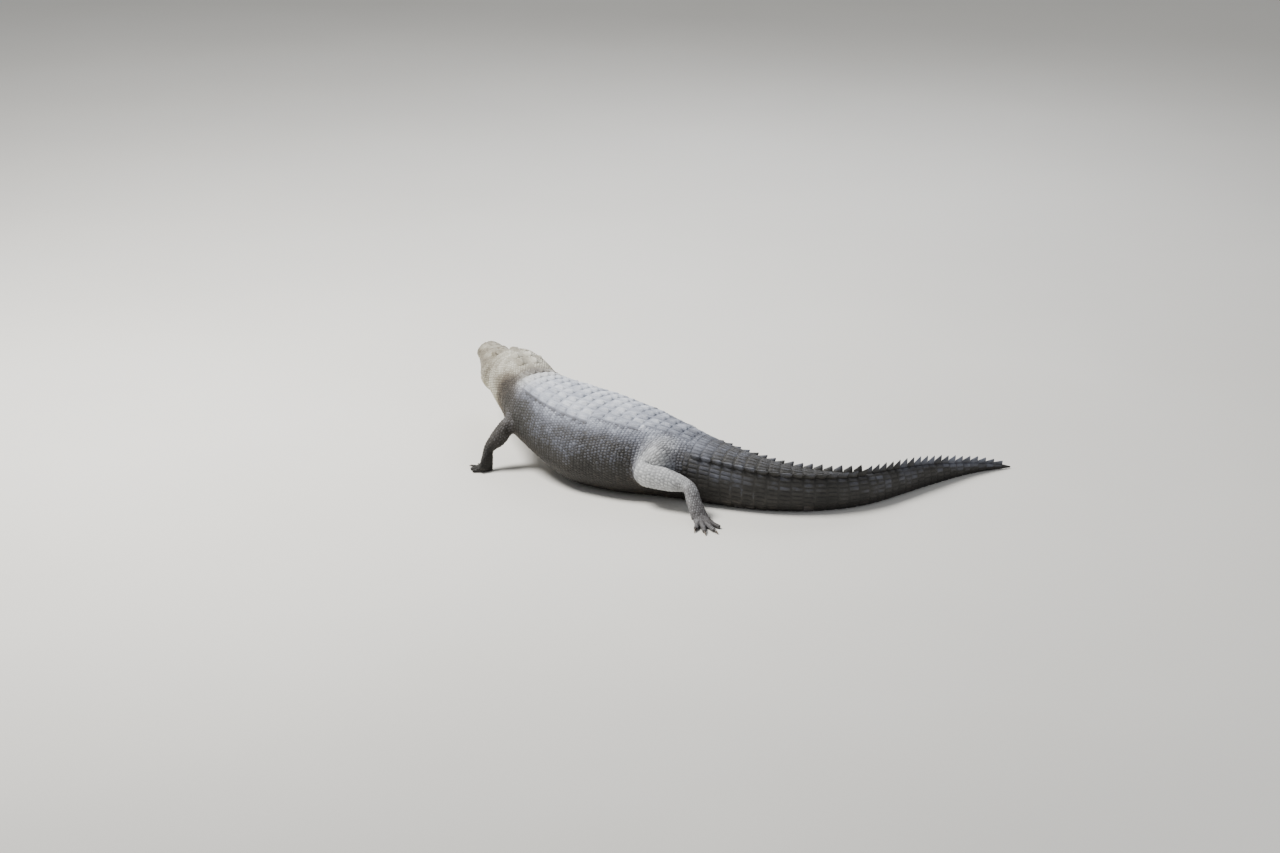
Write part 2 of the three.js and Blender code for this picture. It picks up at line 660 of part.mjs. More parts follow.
function addLeg(parent, leg, torsoWithRoom) {
  const { floor, forward, left } = station(leg.at);
  const place = ([ahead, outward, high]) =>
    floor
      .clone()
      .addScaledVector(forward, ahead)
      .addScaledVector(left, leg.side * outward)
      .setZ(high);
  const fore = leg.at === SHOULDER_AT;
  const girths = fore ? GIRTHS.fore : GIRTHS.hind;
  const [root, bend, end, ball] = leg.joints.map(place);
  const muscle = new THREE.Vector3(0, 0, fore ? 4 : 8);
  const middle = (from, to, share) => from.clone().lerp(to, share);
  const upperStops = stopsOf([root, middle(root, bend, 0.5).add(muscle), bend], girths.upper);
  const lowerStops = stopsOf([bend, middle(bend, end, 0.5), end], girths.lower);
  const footStops = stopsOf([end, middle(end, ball, 0.55), ball], girths.foot);
  const solid = (stops, settings) => loft(limbRings(stops, settings));
  const upper = { ...STRETCHES.upper, reference: forward };
  const digits = digitsOf(leg, fore ? FORE_DIGITS : HIND_DIGITS, place, girths);
  const webs = digits.slice(1).map((digit, i) => webSolid(digits[i], digit, girths.web));
  const palm = solid(footStops, STRETCHES.foot);
  const foot = unionOf([palm, ...digits.map(({ rings }) => loft(rings)), ...webs]);
  const upperWithRoom = solid(upperStops, { ...upper, grow: GAP });
  const lowerWithRoom = solid(lowerStops, { ...STRETCHES.lower, grow: GAP });
  const names = fore ? ['upper_arm', 'forearm', 'hand'] : ['thigh', 'shank', 'foot'];
  const colours = fore ? FORELEG_COLOURS : HINDLEG_COLOURS;
  const parts = [
    solid(upperStops, upper).subtract(torsoWithRoom),
    solid(lowerStops, STRETCHES.lower).subtract(upperWithRoom).subtract(torsoWithRoom),
    foot.subtract(lowerWithRoom).subtract(torsoWithRoom),
  ];
  parts.forEach((part, i) => addNode(parent, `${leg.name}_${names[i]}`, part, hide(colours[i])));
  digits
    .filter((digit) => digit.claw)
    .forEach((digit) => addNode(parent, `${leg.name}_claw_${digit.index + 1}`, clawSolid(digit), HORN));
}

// Colours as the hide shows in soft daylight: pale on the head, grey on the back, dark on the tail and feet
const hide = (color) => new THREE.MeshStandardMaterial({ color, roughness: 0.65, metalness: 0 });
const HORN = new THREE.MeshStandardMaterial({ color: 0x2b2825, roughness: 0.4, metalness: 0 });
const EYEBALL = new THREE.MeshStandardMaterial({ color: 0x6b5a2c, roughness: 0.1, metalness: 0 });
const FORELEG_COLOURS = [0x7c7b74, 0x4a463a, 0x1c1a14];
const HINDLEG_COLOURS = [0x9e9fa5, 0x72757b, 0x5c5d55];
const TAIL_COLOURS = [0x7d8089, 0x5d6069, 0x4d4f58, 0x3f4249, 0x35353c];

function addNode(parent, name, solid, material) {
  const mesh = new THREE.Mesh(geometryOf(largest(solid)), material);
  mesh.name = name;
  parent.add(mesh);
}

const group = new THREE.Group();

const neckStart = station(HEAD_LENGTH);
const head = new THREE.Group();
head.position.copy(neckStart.floor).addScaledVector(neckStart.up, widest(HEAD_LENGTH));
head.rotation.z = radians(heading(HEAD_LENGTH));
group.add(head);
addNode(head, 'head', headSolid(), hide(0xc6c4bb));
addNode(head, 'lower_jaw', jawSolid(), hide(0xb5b2a5));
addNode(head, 'eye_left', eyeSolid(1), EYEBALL);
addNode(head, 'eye_right', eyeSolid(-1), EYEBALL);

addNode(group, 'neck', neckSolid(), hide(0xbbbbaf));
addNode(group, 'torso', torsoSolid(), hide(0x9a9ca4));

const tail = new THREE.Group();
group.add(tail);
const blades = crestBlades();
TAIL_LENGTHS.forEach(({ name, end, sections, sides }, i) => {
  const start = i === 0 ? TORSO_END : TAIL_LENGTHS[i - 1].end;
  const own = blades.filter(({ at }) => at > start && at < end).map(({ solid }) => solid);
  addNode(tail, name, unionOf([lengthOfBody(start, end, sections, sides), ...own]), hide(TAIL_COLOURS[i]));
});

const torsoWithRoom = torsoSolid(GAP);
LEGS.forEach((leg) => {
  const legGroup = new THREE.Group();
  group.add(legGroup);
  addLeg(legGroup, leg, torsoWithRoom);
});

export default group;
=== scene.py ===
"""Dresses the american alligator: one skin over the whole animal, and its scales, teeth, claws and eyes.

Shapes are worked out in millimetres in the frame of the solids and become metres in the meshes. A scale coat
is laid out flat by Geometry Nodes and then wrapped round the surface that it grows on.
"""

import math

import bpy
import numpy as np
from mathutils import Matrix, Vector
from mathutils.bvhtree import BVHTree
from mathutils.kdtree import KDTree


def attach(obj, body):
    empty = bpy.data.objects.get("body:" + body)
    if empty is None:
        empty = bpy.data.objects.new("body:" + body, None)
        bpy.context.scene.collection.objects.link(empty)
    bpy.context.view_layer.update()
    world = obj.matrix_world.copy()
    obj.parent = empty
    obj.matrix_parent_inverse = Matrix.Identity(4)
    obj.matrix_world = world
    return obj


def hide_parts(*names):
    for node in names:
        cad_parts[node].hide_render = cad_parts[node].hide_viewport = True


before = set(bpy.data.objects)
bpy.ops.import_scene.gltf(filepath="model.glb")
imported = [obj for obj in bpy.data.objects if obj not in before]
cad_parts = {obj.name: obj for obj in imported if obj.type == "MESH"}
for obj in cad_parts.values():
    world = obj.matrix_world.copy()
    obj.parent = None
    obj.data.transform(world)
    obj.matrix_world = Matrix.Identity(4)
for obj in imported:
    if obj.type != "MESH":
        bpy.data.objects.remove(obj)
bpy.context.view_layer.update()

# Driving dimensions, in mm, as the solids have them
TOTAL_LENGTH = 2750
HEAD_LENGTH = 372
NECK_END = 575
SHOULDER_AT = 690
TRUNK_MIDDLE = 985
HIP_AT = 1335
TORSO_END = 1410
HEADING = [
    (0, 108), (372, 108), (470, 109), (575, 112), (700, 125), (800, 138), (1150, 148), (1400, 150),
    (1600, 156), (1800, 177), (2000, 200), (2120, 215), (2250, 219), (2450, 216), (2750, 192),
]
TILT = [(0, 0), (372, 0), (470, 4), (600, 8), (800, 0), (2750, 0)]
# distance from the snout tip: half width, underside, widest level, back
BODY = {
    372: (112, 152, 214, 338),
    470: (120, 130, 212, 350),
    575: (128, 112, 200, 336),
    700: (158, 84, 180, 326),
    850: (206, 26, 148, 314),
    985: (230, -12, 128, 302),
    1130: (216, -14, 118, 286),
    1290: (160, -10, 110, 262),
    1400: (126, -10, 102, 238),
    1600: (92, -8, 84, 196),
    1800: (68, -6, 66, 156),
    2050: (44, -5, 48, 118),
    2300: (27, -4, 38, 94),
    2550: (12, -2, 22, 52),
    2700: (5, -1, 12, 24),
    2750: (2, 0.5, 5, 9),
}
UPPER_SQUARENESS = 2.3
LOWER_SQUARENESS = 2.4
SKULL_SQUARENESS = 2.25

SHIELD_FROM = NECK_END + 14
SHIELD_TO = TORSO_END - 6
SHIELD_COLUMNS = [6, 6, 8, 8, 8, 8, 8, 8, 8, 6, 6, 6, 6, 4, 4, 4, 4]
SHIELD_ROW = (SHIELD_TO - SHIELD_FROM) / len(SHIELD_COLUMNS)
HALF_COLUMN = 4.8  # degrees round the body
NECK_DEGREE = 1.75  # mm on the nape for one degree
# Nuchal scutes: place, angle from the midline, length, width, height
NUCHAL = [(408, 12, 26, 26, 9), (468, 10, 50, 40, 15), (476, 30, 34, 30, 10), (524, 10, 46, 40, 15)]

CREST_FROM = TORSO_END + 12
CREST_MERGE = 2056
CREST_TO = 2716
CREST_PAIRS = 16
CREST_SINGLES = 19
CREST_FOOT = [(CREST_FROM, 13), (1600, 11), (1850, 7.5), (CREST_MERGE, 6), (2750, 5)]
CREST_SPREAD = [(CREST_FROM, 50), (1700, 42), (1950, 24), (CREST_MERGE, 12)]
CREST_HEIGHT = [(CREST_FROM, 15), (1700, 24), (CREST_MERGE, 30), (2300, 34), (2600, 22), (2750, 8)]
PAIR_LENGTH = (CREST_MERGE - CREST_FROM) / CREST_PAIRS
SINGLE_LENGTH = (CREST_TO - CREST_MERGE) / CREST_SINGLES
# Start, number of blades, length of each, and whether they stand in pairs
CREST_ROWS = [
    (CREST_FROM, CREST_PAIRS, PAIR_LENGTH, True),
    (CREST_MERGE, CREST_SINGLES, SINGLE_LENGTH, False),
]

# The head's outline against distance from the snout tip, with heights from the level of the mouth
LIP_HALF = [
    (0, 10), (5, 27), (16, 43), (40, 56), (75, 57), (105, 65), (150, 75), (200, 88), (250, 103),
    (300, 117), (340, 120), (372, 112),
]
SKULL_HEIGHT = [
    (0, 14), (8, 27), (26, 40), (58, 38), (100, 40), (150, 46), (200, 57), (240, 64), (330, 84), (372, 124),
]
JAW_DEPTH = [(6, 9), (16, 20), (40, 28), (90, 32), (150, 37), (220, 45), (280, 53), (330, 60), (372, 62)]
MOUTH_LINE = [(0, 2), (30, 0), (60, -4), (100, 3), (150, -4), (200, 4), (250, -3), (300, 5), (372, 0)]
NECK_BLEND = (332, HEAD_LENGTH)
MOUTH_END = (302, 324)  # the line of the mouth fades out over this stretch
JAW_INSET = 9
JAW_FRONT = 9
CHIN_END = 34
EYE = (238, 40, 66)  # back from the snout tip, out from the midline, up from the mouth
EYE_RADIUS = 14
EYE_OPENING = (42, 27)  # degrees from its middle to its corners and to its upper edge
LOWER_LID = 0.82  # how far the opening reaches down, as a share of how far it reaches up
IRIS_EDGE = 56  # degrees from the line of sight
LID_RADII = (24, 17.5, 16.5)
LID_REACH = 26  # how far from the middle of the eye the lids' foot lies
# Rings of the lids: degrees outside the opening, height over the eye or the skin, relief
LID_PROFILE = [
    (-5, -2.5, 0.0), (-2.5, 0.3, 0.1), (0, 1.6, 0.2), (3, 2.3, 0.6), (6, 2.2, 0.5), (9, 0.9, 0.0),
    (12, 1.5, 0.4), (15, 1.9, 0.5), (18, 1.1, 0.0), (21, 1.4, 0.4), (25, 0.7, 0.3), (29, -1.4, 0.2),
    (32, -4.0, 0.2), (24, -8, 0.0),
]
BROW = (242, 35, 75)
BROW_RADII = (27, 14, 8)
TABLE_FROM, TABLE_TO, TABLE_HALF, TABLE_EDGE, TABLE_HEIGHT = 252, 336, 50, 8, 19
NOSTRIL = (24, 12)
# Bumps and hollows of the skull: height, place and reach along it, place and reach out from the midline
SKULL_BUMPS = [
    (4, 28, 20, 0, 26),  # seat of the nostrils
    (-3, 150, 60, 0, 9),  # middle of the snout
    (3, 104, 22, 42, 14),  # over the large upper tooth
    (5, 300, 35, 92, 20),  # jowl
    (4.5, 328, 13, 47, 9),  # rear corner of the skull's table
    (-4, 288, 14, 21, 9),  # hollow in the table
    (-4, 232, 17, 0, 12),  # between the eyes
]
EAR = 290
EAR_FRONT, EAR_BACK = (262, 272), (308, 320)  # the slit deepens and fades out over these stretches
EAR_RISE = 6  # height of the ear slit over the plain vault, under the edge of the skull's table
EAR_FLAP = (292, 20.9, 22, 4.2, 1.6)  # place, degrees from the midline, half length, half width, height
TOOTH_ROW = (14, 216, 13)
TOOTH_LENGTH = [(14, 6), (40, 9), (58, 14), (80, 8), (100, 8), (145, 13), (180, 8), (216, 7)]
TOOTH_OUTSIDE = 4.5

# Half widths across and through of each limb, from its root to the ball of the foot
FORE_GIRTHS = [(50, 50), (46, 44), (34, 32), (33, 30), (22, 18), (30, 14), (36, 11)]
HIND_GIRTHS = [(92, 74), (94, 78), (53, 47), (44, 40), (28, 24), (30, 18), (35, 13)]
# Digits from the inner one out: angle to the foot, length, claw
FORE_DIGITS = [(-46, 44, 18), (-22, 58, 22), (2, 62, 22), (27, 56, 0), (54, 46, 0)]
HIND_DIGITS = [(-30, 78, 26), (-10, 100, 30), (10, 104, 28), (31, 88, 0)]
FORE_DIGIT, HIND_DIGIT = 9, 11  # their half thickness
FORE_WEB, HIND_WEB = 0.34, 0.66  # how far along the digits the web reaches
# Palm (True) and sole (False): places along the foot from its ball, and half widths across and through
SOLE_REACH = {True: (2, 12, 24), False: (-4, 12, 36)}
SOLE_GIRTHS = {True: [(22, 12), (30, 12), (30, 8)], False: [(26, 15), (33, 14), (35, 9)]}
# Each leg: where its girdle is, its side, the way the toes point, and root, bend, end and ball of the foot
# as forward, outward and up from the floor under the girdle
LEGS = {
    "foreleg_left": (SHOULDER_AT, 1, 12, [(0, 60, 205), (0, 166, 160), (8, 252, 76), (-10, 276, 11)]),
    "foreleg_right": (SHOULDER_AT, -1, 24, [(0, 60, 205), (-30, 176, 132), (30, 206, 42), (62, 220, 11)]),
    "hindleg_left": (HIP_AT, 1, 138, [(8, 40, 152), (58, 170, 121), (-130, 178, 101), (-216, 244, 18)]),
    "hindleg_right": (HIP_AT, -1, 30, [(0, 40, 146), (118, 202, 96), (-30, 226, 50), (36, 256, 12)]),
}

# Folds of the neck: place on the side, depth, and how much further back they reach the belly
NECK_FOLDS = [(392, 4.5, 14), (428, 2.5, 10), (566, 3.5, -16), (604, 3.0, -20), (640, 2.2, -24)]
# Where the coats meet: those of jaw and throat, of throat and belly, and of neck and flank
THROAT_FROM, BELLY_FROM, FLANK_FROM = 300, 560, SHIELD_FROM + 9
JOWL_FROM, BELLY_TO = 292, 1400
# Pale folds on the side of the tail's base: place and how pale
TAIL_FOLDS = [(1572, 0.26), (1612, 0.32), (1655, 0.32), (1690, 0.2), (1845, 0.24)]
TAIL_FOLD_HEIGHT = 8  # for one that is fully pale

# Tone of the hide (0 dark, 1 pale) against distance from the snout tip, with painted light and shade in it
# Pale back and head: partly dry dust, partly painted light from above. The dip at 600 is a painted shadow
# between neck and back.
BACK_TONE = [
    (0, 0.74), (372, 0.8), (540, 0.82), (600, 0.58), (660, 0.98), (900, 1.0), (1300, 0.78), (1500, 0.42),
    (1800, 0.24), (2100, 0.28), (2300, 0.42), (2750, 0.5),
]
# The flanks are darker than the back partly as painted shade; the dip at 590 is a painted shadow band behind
# the neck.
SIDE_TONE = [
    (0, 0.6), (372, 0.66), (470, 0.68), (590, 0.16), (900, 0.42), (1300, 0.22), (1500, 0.4), (1800, 0.28),
    (2750, 0.4),
]
# Near black low on the trunk and tail: partly the hide's own dark, partly painted shade under the body.
LOW_TONE = [
    (0, 0.7), (372, 0.86), (470, 0.84), (600, 0.34), (760, 0.1), (900, 0.0), (1300, 0.0), (1500, 0.04),
    (2750, 0.08),
]
# The belly's cream is the hide's own; its dark under the tail is painted shade.
BELLY_TONE = [(0, 0.84), (372, 0.76), (900, 0.5), (1300, 0.46), (1500, 0.2), (1900, 0.12), (2750, 0.1)]
# Tone of the legs against distance from their root: the forelegs' dark is partly painted shade, the hind
# legs' pale partly painted light
FORELEG_TONE = [(0, 0.36), (120, 0.36), (200, 0.18), (260, 0.04), (330, 0.0)]
HINDLEG_TONE = [(0, 0.66), (60, 0.78), (130, 1.0), (220, 0.94), (300, 0.82), (400, 0.6), (480, 0.46)]
LEG_WARMTH = 0.35
BIG_SCALES = 0.14  # share of scales that are larger, where a coat has such
MIDDLE_LUCK = 0.5  # luck lightens or darkens each scale, and the skin has the middle value

SKIN_DEPTH = 1.3  # how far the skin lies inside the solids where scales cover it
OFF_FLOOR, BELLY_OFF_FLOOR = 0.6, 1.0  # least heights of the skin over the floor
MM = 0.001


def unit(vectors):
    return vectors / np.maximum(np.linalg.norm(vectors, axis=-1, keepdims=True), 1e-9)


def smooth(value, low, high):
    share = np.clip((value - low) / (high - low), 0, 1)
    return share * share * (3 - 2 * share)


def bell(value):
    return np.exp(-np.square(value))


def signed_power(value, power):
    return np.sign(value) * np.abs(value) ** power


def from_back(degrees):
    """Degrees from the midline of the back, on either side."""
    return np.minimum(np.abs(degrees - 90), 360 - np.abs(degrees - 90))


def run_of(points):
    """How far each point lies along the line through all of them."""
    return np.concatenate([[0], np.cumsum(np.linalg.norm(np.diff(points, axis=0), axis=1))])


def point_tree(points):
    tree = KDTree(len(points))
    for i, point in enumerate(points):
        tree.insert(point, i)
    tree.balance()
    return tree


def read_out(items, key, width=1, kind=float):
    """One property of all items, in rows of the given width."""
    values = np.zeros(len(items) * width, kind)
    items.foreach_get(key, values)
    return values.reshape(-1, width) if width > 1 else values


def curve(points):
    """A monotone cubic through (x, y) points, for arrays."""
    xs, ys = (np.array(values, float) for values in zip(*points))
    steps = np.diff(ys) / np.diff(xs)
    before, after = steps[:-1], steps[1:]
    total = np.where(before + after == 0, 1, before + after)
    inner = np.where(before * after <= 0, 0, 2 * before * after / total)
    slopes = np.concatenate([steps[:1], inner, steps[-1:]])

    def value_at(x):
        x = np.asarray(x, float)
        found = np.clip(np.searchsorted(xs, x) - 1, 0, len(xs) - 2)
        span = xs[found + 1] - xs[found]
        t = np.clip((x - xs[found]) / span, 0, 1)
        ends = ys[found] * (1 + 2 * t) * (1 - t) ** 2 + ys[found + 1] * t * t * (3 - 2 * t)
        return ends + span * t * (1 - t) * (slopes[found] * (1 - t) - slopes[found + 1] * t)

    return value_at


heading = curve(HEADING)
tilt = curve(TILT)
half, under, widest, back = (curve([(at, row[k]) for at, row in BODY.items()]) for k in range(4))
crest_spread = curve(CREST_SPREAD)
crest_height = curve(CREST_HEIGHT)
crest_foot = curve(CREST_FOOT)
lip_half = curve(LIP_HALF)
skull_height = curve(SKULL_HEIGHT)
jaw_depth = curve(JAW_DEPTH)
mouth_line = curve(MOUTH_LINE)
tooth_length = curve(TOOTH_LENGTH)

# The midline on the floor, traced from the snout tip and moved so that the trunk's middle is at the origin
TRACE = np.arange(0, TOTAL_LENGTH + 5, 5.0)
traced = np.radians(heading((TRACE[1:] + TRACE[:-1]) / 2))
steps_back = -5 * np.stack([np.cos(traced), np.sin(traced)], -1)
midline = np.vstack([[0, 0], np.cumsum(steps_back, 0)])
midline -= midline[TRUNK_MIDDLE // 5]


def station(at):
    """The midline's x and y and its heading in radians at a distance from the snout tip."""
    return np.interp(at, TRACE, midline[:, 0]), np.interp(at, TRACE, midline[:, 1]), np.radians(heading(at))


def body_point(at, degrees, lift=0.0):
    """A point of neck, trunk or tail. The angle runs from the left side (0) over the back (90)."""
    x, y, turn = station(at)
    angle = np.radians(degrees)
    upper = np.sin(angle) > 0
    power = np.where(upper, 2 / UPPER_SQUARENESS, 2 / LOWER_SQUARENESS)
    reach = (half(at) + lift) * signed_power(np.cos(angle), power)
    tall = np.where(upper, back(at) - widest(at), widest(at) - under(at)) + lift
    rise = tall * signed_power(np.sin(angle), power)
    lean = np.radians(tilt(at))
    ahead = -np.sin(lean) * rise
    points = [
        x - np.sin(turn) * reach + np.cos(turn) * ahead,
        y + np.cos(turn) * reach + np.sin(turn) * ahead,
        widest(at) + np.cos(lean) * rise,
    ]
    return np.stack(np.broadcast_arrays(*points), -1)


def from_head(points):
    """Head coordinates (back from the snout tip, left, up from the mouth) to the frame."""
    x, y, turn = station(HEAD_LENGTH)
    ahead = HEAD_LENGTH - points[..., 0]
    left = points[..., 1]
    return np.stack(
        [
            x + np.cos(turn) * ahead - np.sin(turn) * left,
            y + np.sin(turn) * ahead + np.cos(turn) * left,
            widest(HEAD_LENGTH) + points[..., 2],
        ],
        -1,
    )


class Surface:
    """A closed grid of points round a path, which gives a point at any place along it and angle round it."""

    def __init__(self, along, angles, grid):
        self.along = np.asarray(along, float)
        self.angles = np.asarray(angles, float)
        self.set_grid(grid)

    def set_grid(self, grid):
        self.grid = grid
        round_it = np.roll(grid, -1, 1) - np.roll(grid, 1, 1)
        down_it = np.gradient(grid, axis=0)
        normals = unit(np.cross(round_it, down_it))
        outward = grid - grid.mean(1, keepdims=True)
        self.normals = normals * np.sign((normals * outward).sum())

    def at(self, along, degrees, lift=0.0):
        along, degrees, lift = np.broadcast_arrays(along, degrees, np.asarray(lift, float))
        rows = np.interp(along, self.along, np.arange(len(self.along)))
        count = len(self.angles)
        columns = np.interp(degrees % 360, np.append(self.angles, 360), np.arange(count + 1))
        row = np.minimum(rows.astype(int), len(self.along) - 2)
        column = columns.astype(int) % count
        after = (column + 1) % count
        down = (rows - row)[..., None]
        over = (columns - np.floor(columns))[..., None]

        def mixed(values):
            near = values[row, column] * (1 - over) + values[row, after] * over
            far = values[row + 1, column] * (1 - over) + values[row + 1, after] * over
            return near * (1 - down) + far * down

        return mixed(self.grid) + lift[..., None] * unit(mixed(self.normals))

    def mm_per_degree(self, along, degrees):
        ends = self.at(along, degrees + 1) - self.at(along, degrees - 1)
        return np.linalg.norm(ends, axis=-1) / 2


def closed_faces(rows, columns):
    """Quads over a grid that closes round its columns, and a fan at each end on two extra points."""
    first = np.arange(rows - 1)[:, None] * columns + np.arange(columns)[None, :]
    beside = np.arange(rows - 1)[:, None] * columns + (np.arange(columns)[None, :] + 1) % columns
    quads = np.stack([first, beside, beside + columns, first + columns], -1).reshape(-1, 4)
    ring = np.arange(columns)
    over = (ring + 1) % columns
    start, end = rows * columns, rows * columns + 1
    last = (rows - 1) * columns
    first_fan = [(start, b, a) for a, b in zip(ring, over)]
    last_fan = [(end, last + a, last + b) for a, b in zip(ring, over)]
    return quads.tolist() + first_fan + last_fan


def mesh_object(name, points, faces):
    """A linked object from points in mm."""
    mesh = bpy.data.meshes.new(name)
    mesh.from_pydata((np.asarray(points) * MM).tolist(), [], faces)
    mesh.update()
    made = bpy.data.objects.new(name, mesh)
    bpy.context.scene.collection.objects.link(made)
    return made


def outward_normals(made):
    """Turns a closed mesh's faces outwards."""
    mesh = made.data
    mesh.calc_loop_triangles()
    points = read_out(mesh.vertices, "co", 3)[read_out(mesh.loop_triangles, "vertices", 3, int)]
    volume = np.einsum("ij,ij->", points[:, 0], np.cross(points[:, 1], points[:, 2]))
    if volume < 0:
        mesh.flip_normals()
    return made


def loft_object(name, grid):
    rows, columns = grid.shape[:2]
    ends = [grid[0].mean(0), grid[-1].mean(0)]
    points = np.vstack([grid.reshape(-1, 3), ends])
    return outward_normals(mesh_object(name, points, closed_faces(rows, columns)))


# Skin of head, neck, trunk and tail


def body_angles():
    """Angles round the body, closer together at the mouth and the sides of the skull's table."""
    side, table = [0, 0.6, 1.4, 2.6, 4.4], np.linspace(59, 76, 15)
    above = np.concatenate([side, np.arange(7, 58, 2.75), table, np.linspace(78.5, 90, 5)])
    below = np.concatenate([[0.5, 1.0, 1.8, 3.0, 5.0], np.linspace(7.5, 90, 31)])
    return np.concatenate([above, 180 - above[-2::-1], 180 + below, 360 - below[-2::-1]])


def skull_relief(u, y):
    """Height in mm that the bones of the skull add to its plain vault."""
    side = np.abs(y)
    along = smooth(u, TABLE_FROM - 14, TABLE_FROM + 6) * (1 - smooth(u, TABLE_TO, HEAD_LENGTH))
    across = 1 - smooth(side, TABLE_HALF - TABLE_EDGE, TABLE_HALF + TABLE_EDGE)
    table = TABLE_HEIGHT * along * across
    socket_rim = 17 * bell((u - EYE[0] - 2) / 30) * bell((side - 34) / 17)
    relief = (table**4 + socket_rim**4) ** 0.25
    for high, place, reach, out, width in SKULL_BUMPS:
        relief = relief + high * bell((u - place) / reach) * bell((side - out) / width)
    snout = 8.5 * bell((u - 106) / 58) * (1 - smooth(side, 36, 66))
    ridge_out = 33 - 0.15 * (EYE[0] - u)
    ridges = 5.5 * bell((u - 178) / 58) * bell((side - ridge_out) / 8)
    waist = 4.0 * bell((u - 74) / 12) * smooth(side, 30, 55)
    return relief + snout + ridges - waist


def head_section(u, degrees):
    """Points of the head with its mouth closed: the vault, the lip, the groove under it and the jaw."""
    blend = smooth(u, *NECK_BLEND)
    lip = 1 - smooth(u, *MOUTH_END)
    angle = np.radians(degrees)
    base = mouth_line(u) * (1 - blend)
    wide = lip_half(u)
    upper_power = 2 / (SKULL_SQUARENESS + (UPPER_SQUARENESS - SKULL_SQUARENESS) * blend)
    above = np.minimum(degrees, 180 - degrees)
    rise = np.maximum(np.sin(angle), 0) ** upper_power
    y_above = signed_power(np.cos(angle), upper_power) * (wide - 2.2 * lip * bell(above / 1.6))
    relief = skull_relief(u, y_above) * smooth(rise, 0, 0.5) * (1 - blend)
    z_above = base + (skull_height(u) - base) * rise + relief

    lower_power = 2 / LOWER_SQUARENESS
    below = np.minimum(degrees - 180, 360 - degrees)
    chin = np.sqrt(1 - np.clip((CHIN_END - u) / (CHIN_END - JAW_FRONT), 0, 1) ** 2)
    inset = JAW_INSET * (1 - smooth(u, 230, 300)) + 4 * lip * bell((below - 1) / 1.2)
    drop = np.maximum(-np.sin(angle), 0) ** lower_power
    jaw_half = np.maximum(wide - inset, 0.5) * np.maximum(chin, 0.1)
    y_below = signed_power(np.cos(angle), lower_power) * jaw_half
    z_below = base - (jaw_depth(u) + base) * np.maximum(chin, 0.02) * drop
    upper = degrees <= 180
    y = np.where(upper, y_above, y_below)
    z = np.where(upper, z_above, z_below)
    return np.stack(np.broadcast_arrays(u, y, z), -1)


def on_ellipsoid(points, centre, radii, crispness=7):
    """Moves the points that are inside an ellipsoid out to its surface, with a rounded foot."""
    away = points - np.array(centre)
    size = np.maximum(np.linalg.norm(away / np.array(radii), axis=-1, keepdims=True), 0.05)
    return centre + away * (size**crispness + 1) ** (1 / crispness) / size


def eye_centre(side):
    return np.array([EYE[0], side * EYE[1], EYE[2]], float)


def gaze_frame(side):
    """Directions of one eye in head coordinates: out of the eye, along its opening and up its lids."""
    gaze = unit(np.array([-0.28, side * 1.0, 0.16]))
    along = unit(np.cross(np.array([0, 0, 1.0]), gaze))
    return gaze, along, np.cross(gaze, along)


def eye_share(directions, side):
    """How far a direction from the eye's centre is from the middle of the opening, with 1 on its edge."""
    gaze, along, up = gaze_frame(side)
    ahead = directions @ gaze
    level = np.degrees(np.arctan2(directions @ along, ahead))
    height = np.degrees(np.arctan2(directions @ up, ahead))
    tall = np.where(height > 0, EYE_OPENING[1], EYE_OPENING[1] * LOWER_LID)
    size = np.hypot(level / EYE_OPENING[0], height / tall)
    return np.where(ahead > 0, size, 9)


def nostril_gap(u, y, side):
    """How far a place is from the middle of a nostril, with 1 on its rim."""
    behind = u - NOSTRIL[0]
    return np.hypot(behind / 7.5, (y - side * NOSTRIL[1] - side * 0.25 * behind) / 4.2)


def ear_slit(u, y, z, side):
    """How deep a place lies in the slit of the ear, from 0 to 1."""
    height = z - skull_height(EAR) - EAR_RISE - 0.06 * (u - EAR)
    window = smooth(u, *EAR_FRONT) * (1 - smooth(u, *EAR_BACK))
    return np.where(side * y > 0, window * bell(height / 2.2), 0)


def head_details(points):
    """Brows, lids, nostrils and ear slits, in head coordinates."""
    for side in (-1, 1):
        eye = eye_centre(side)
        points = on_ellipsoid(points, (BROW[0], side * BROW[1], BROW[2]), BROW_RADII)
        points = on_ellipsoid(points, eye, LID_RADII)
        away = points - eye
        distance = np.linalg.norm(away, axis=-1, keepdims=True)
        inside = (eye_share(unit(away), side)[..., None] < 1.12) & (distance < 30)
        points = np.where(inside, eye + unit(away) * (EYE_RADIUS - 2.5), points)

        u, y, z = points[..., 0], points[..., 1], points[..., 2]
        hole = nostril_gap(u, y, side)
        on_top = smooth(z, 18, 28)
        slit = ear_slit(u, y, z, side)
        points[..., 2] += on_top * (2.0 * bell((hole - 1.4) / 0.5) - 8 * bell(hole / 0.8))
        points[..., 1] -= side * 6.0 * slit
    return points


def painted_head_shade(points):
    """How much darker the head is in its nostrils, ear slits and the groove of the mouth: painted shade in
    these hollows.
    """
    u, y, z = points[..., 0], points[..., 1], points[..., 2]
    shade = 0.7 * bell((z - mouth_line(u)) / 1.6) * (1 - smooth(u, *MOUTH_END)) * smooth(np.abs(y), 6, 16)
    for side in (-1, 1):
        nostril = bell(nostril_gap(u, y, side) / 0.8) * smooth(z, 14, 24)
        slit = ear_slit(u, y + side * 5, z, side)
        shade = shade + 0.7 * nostril + 0.5 * slit
    return np.minimum(shade, 0.8)


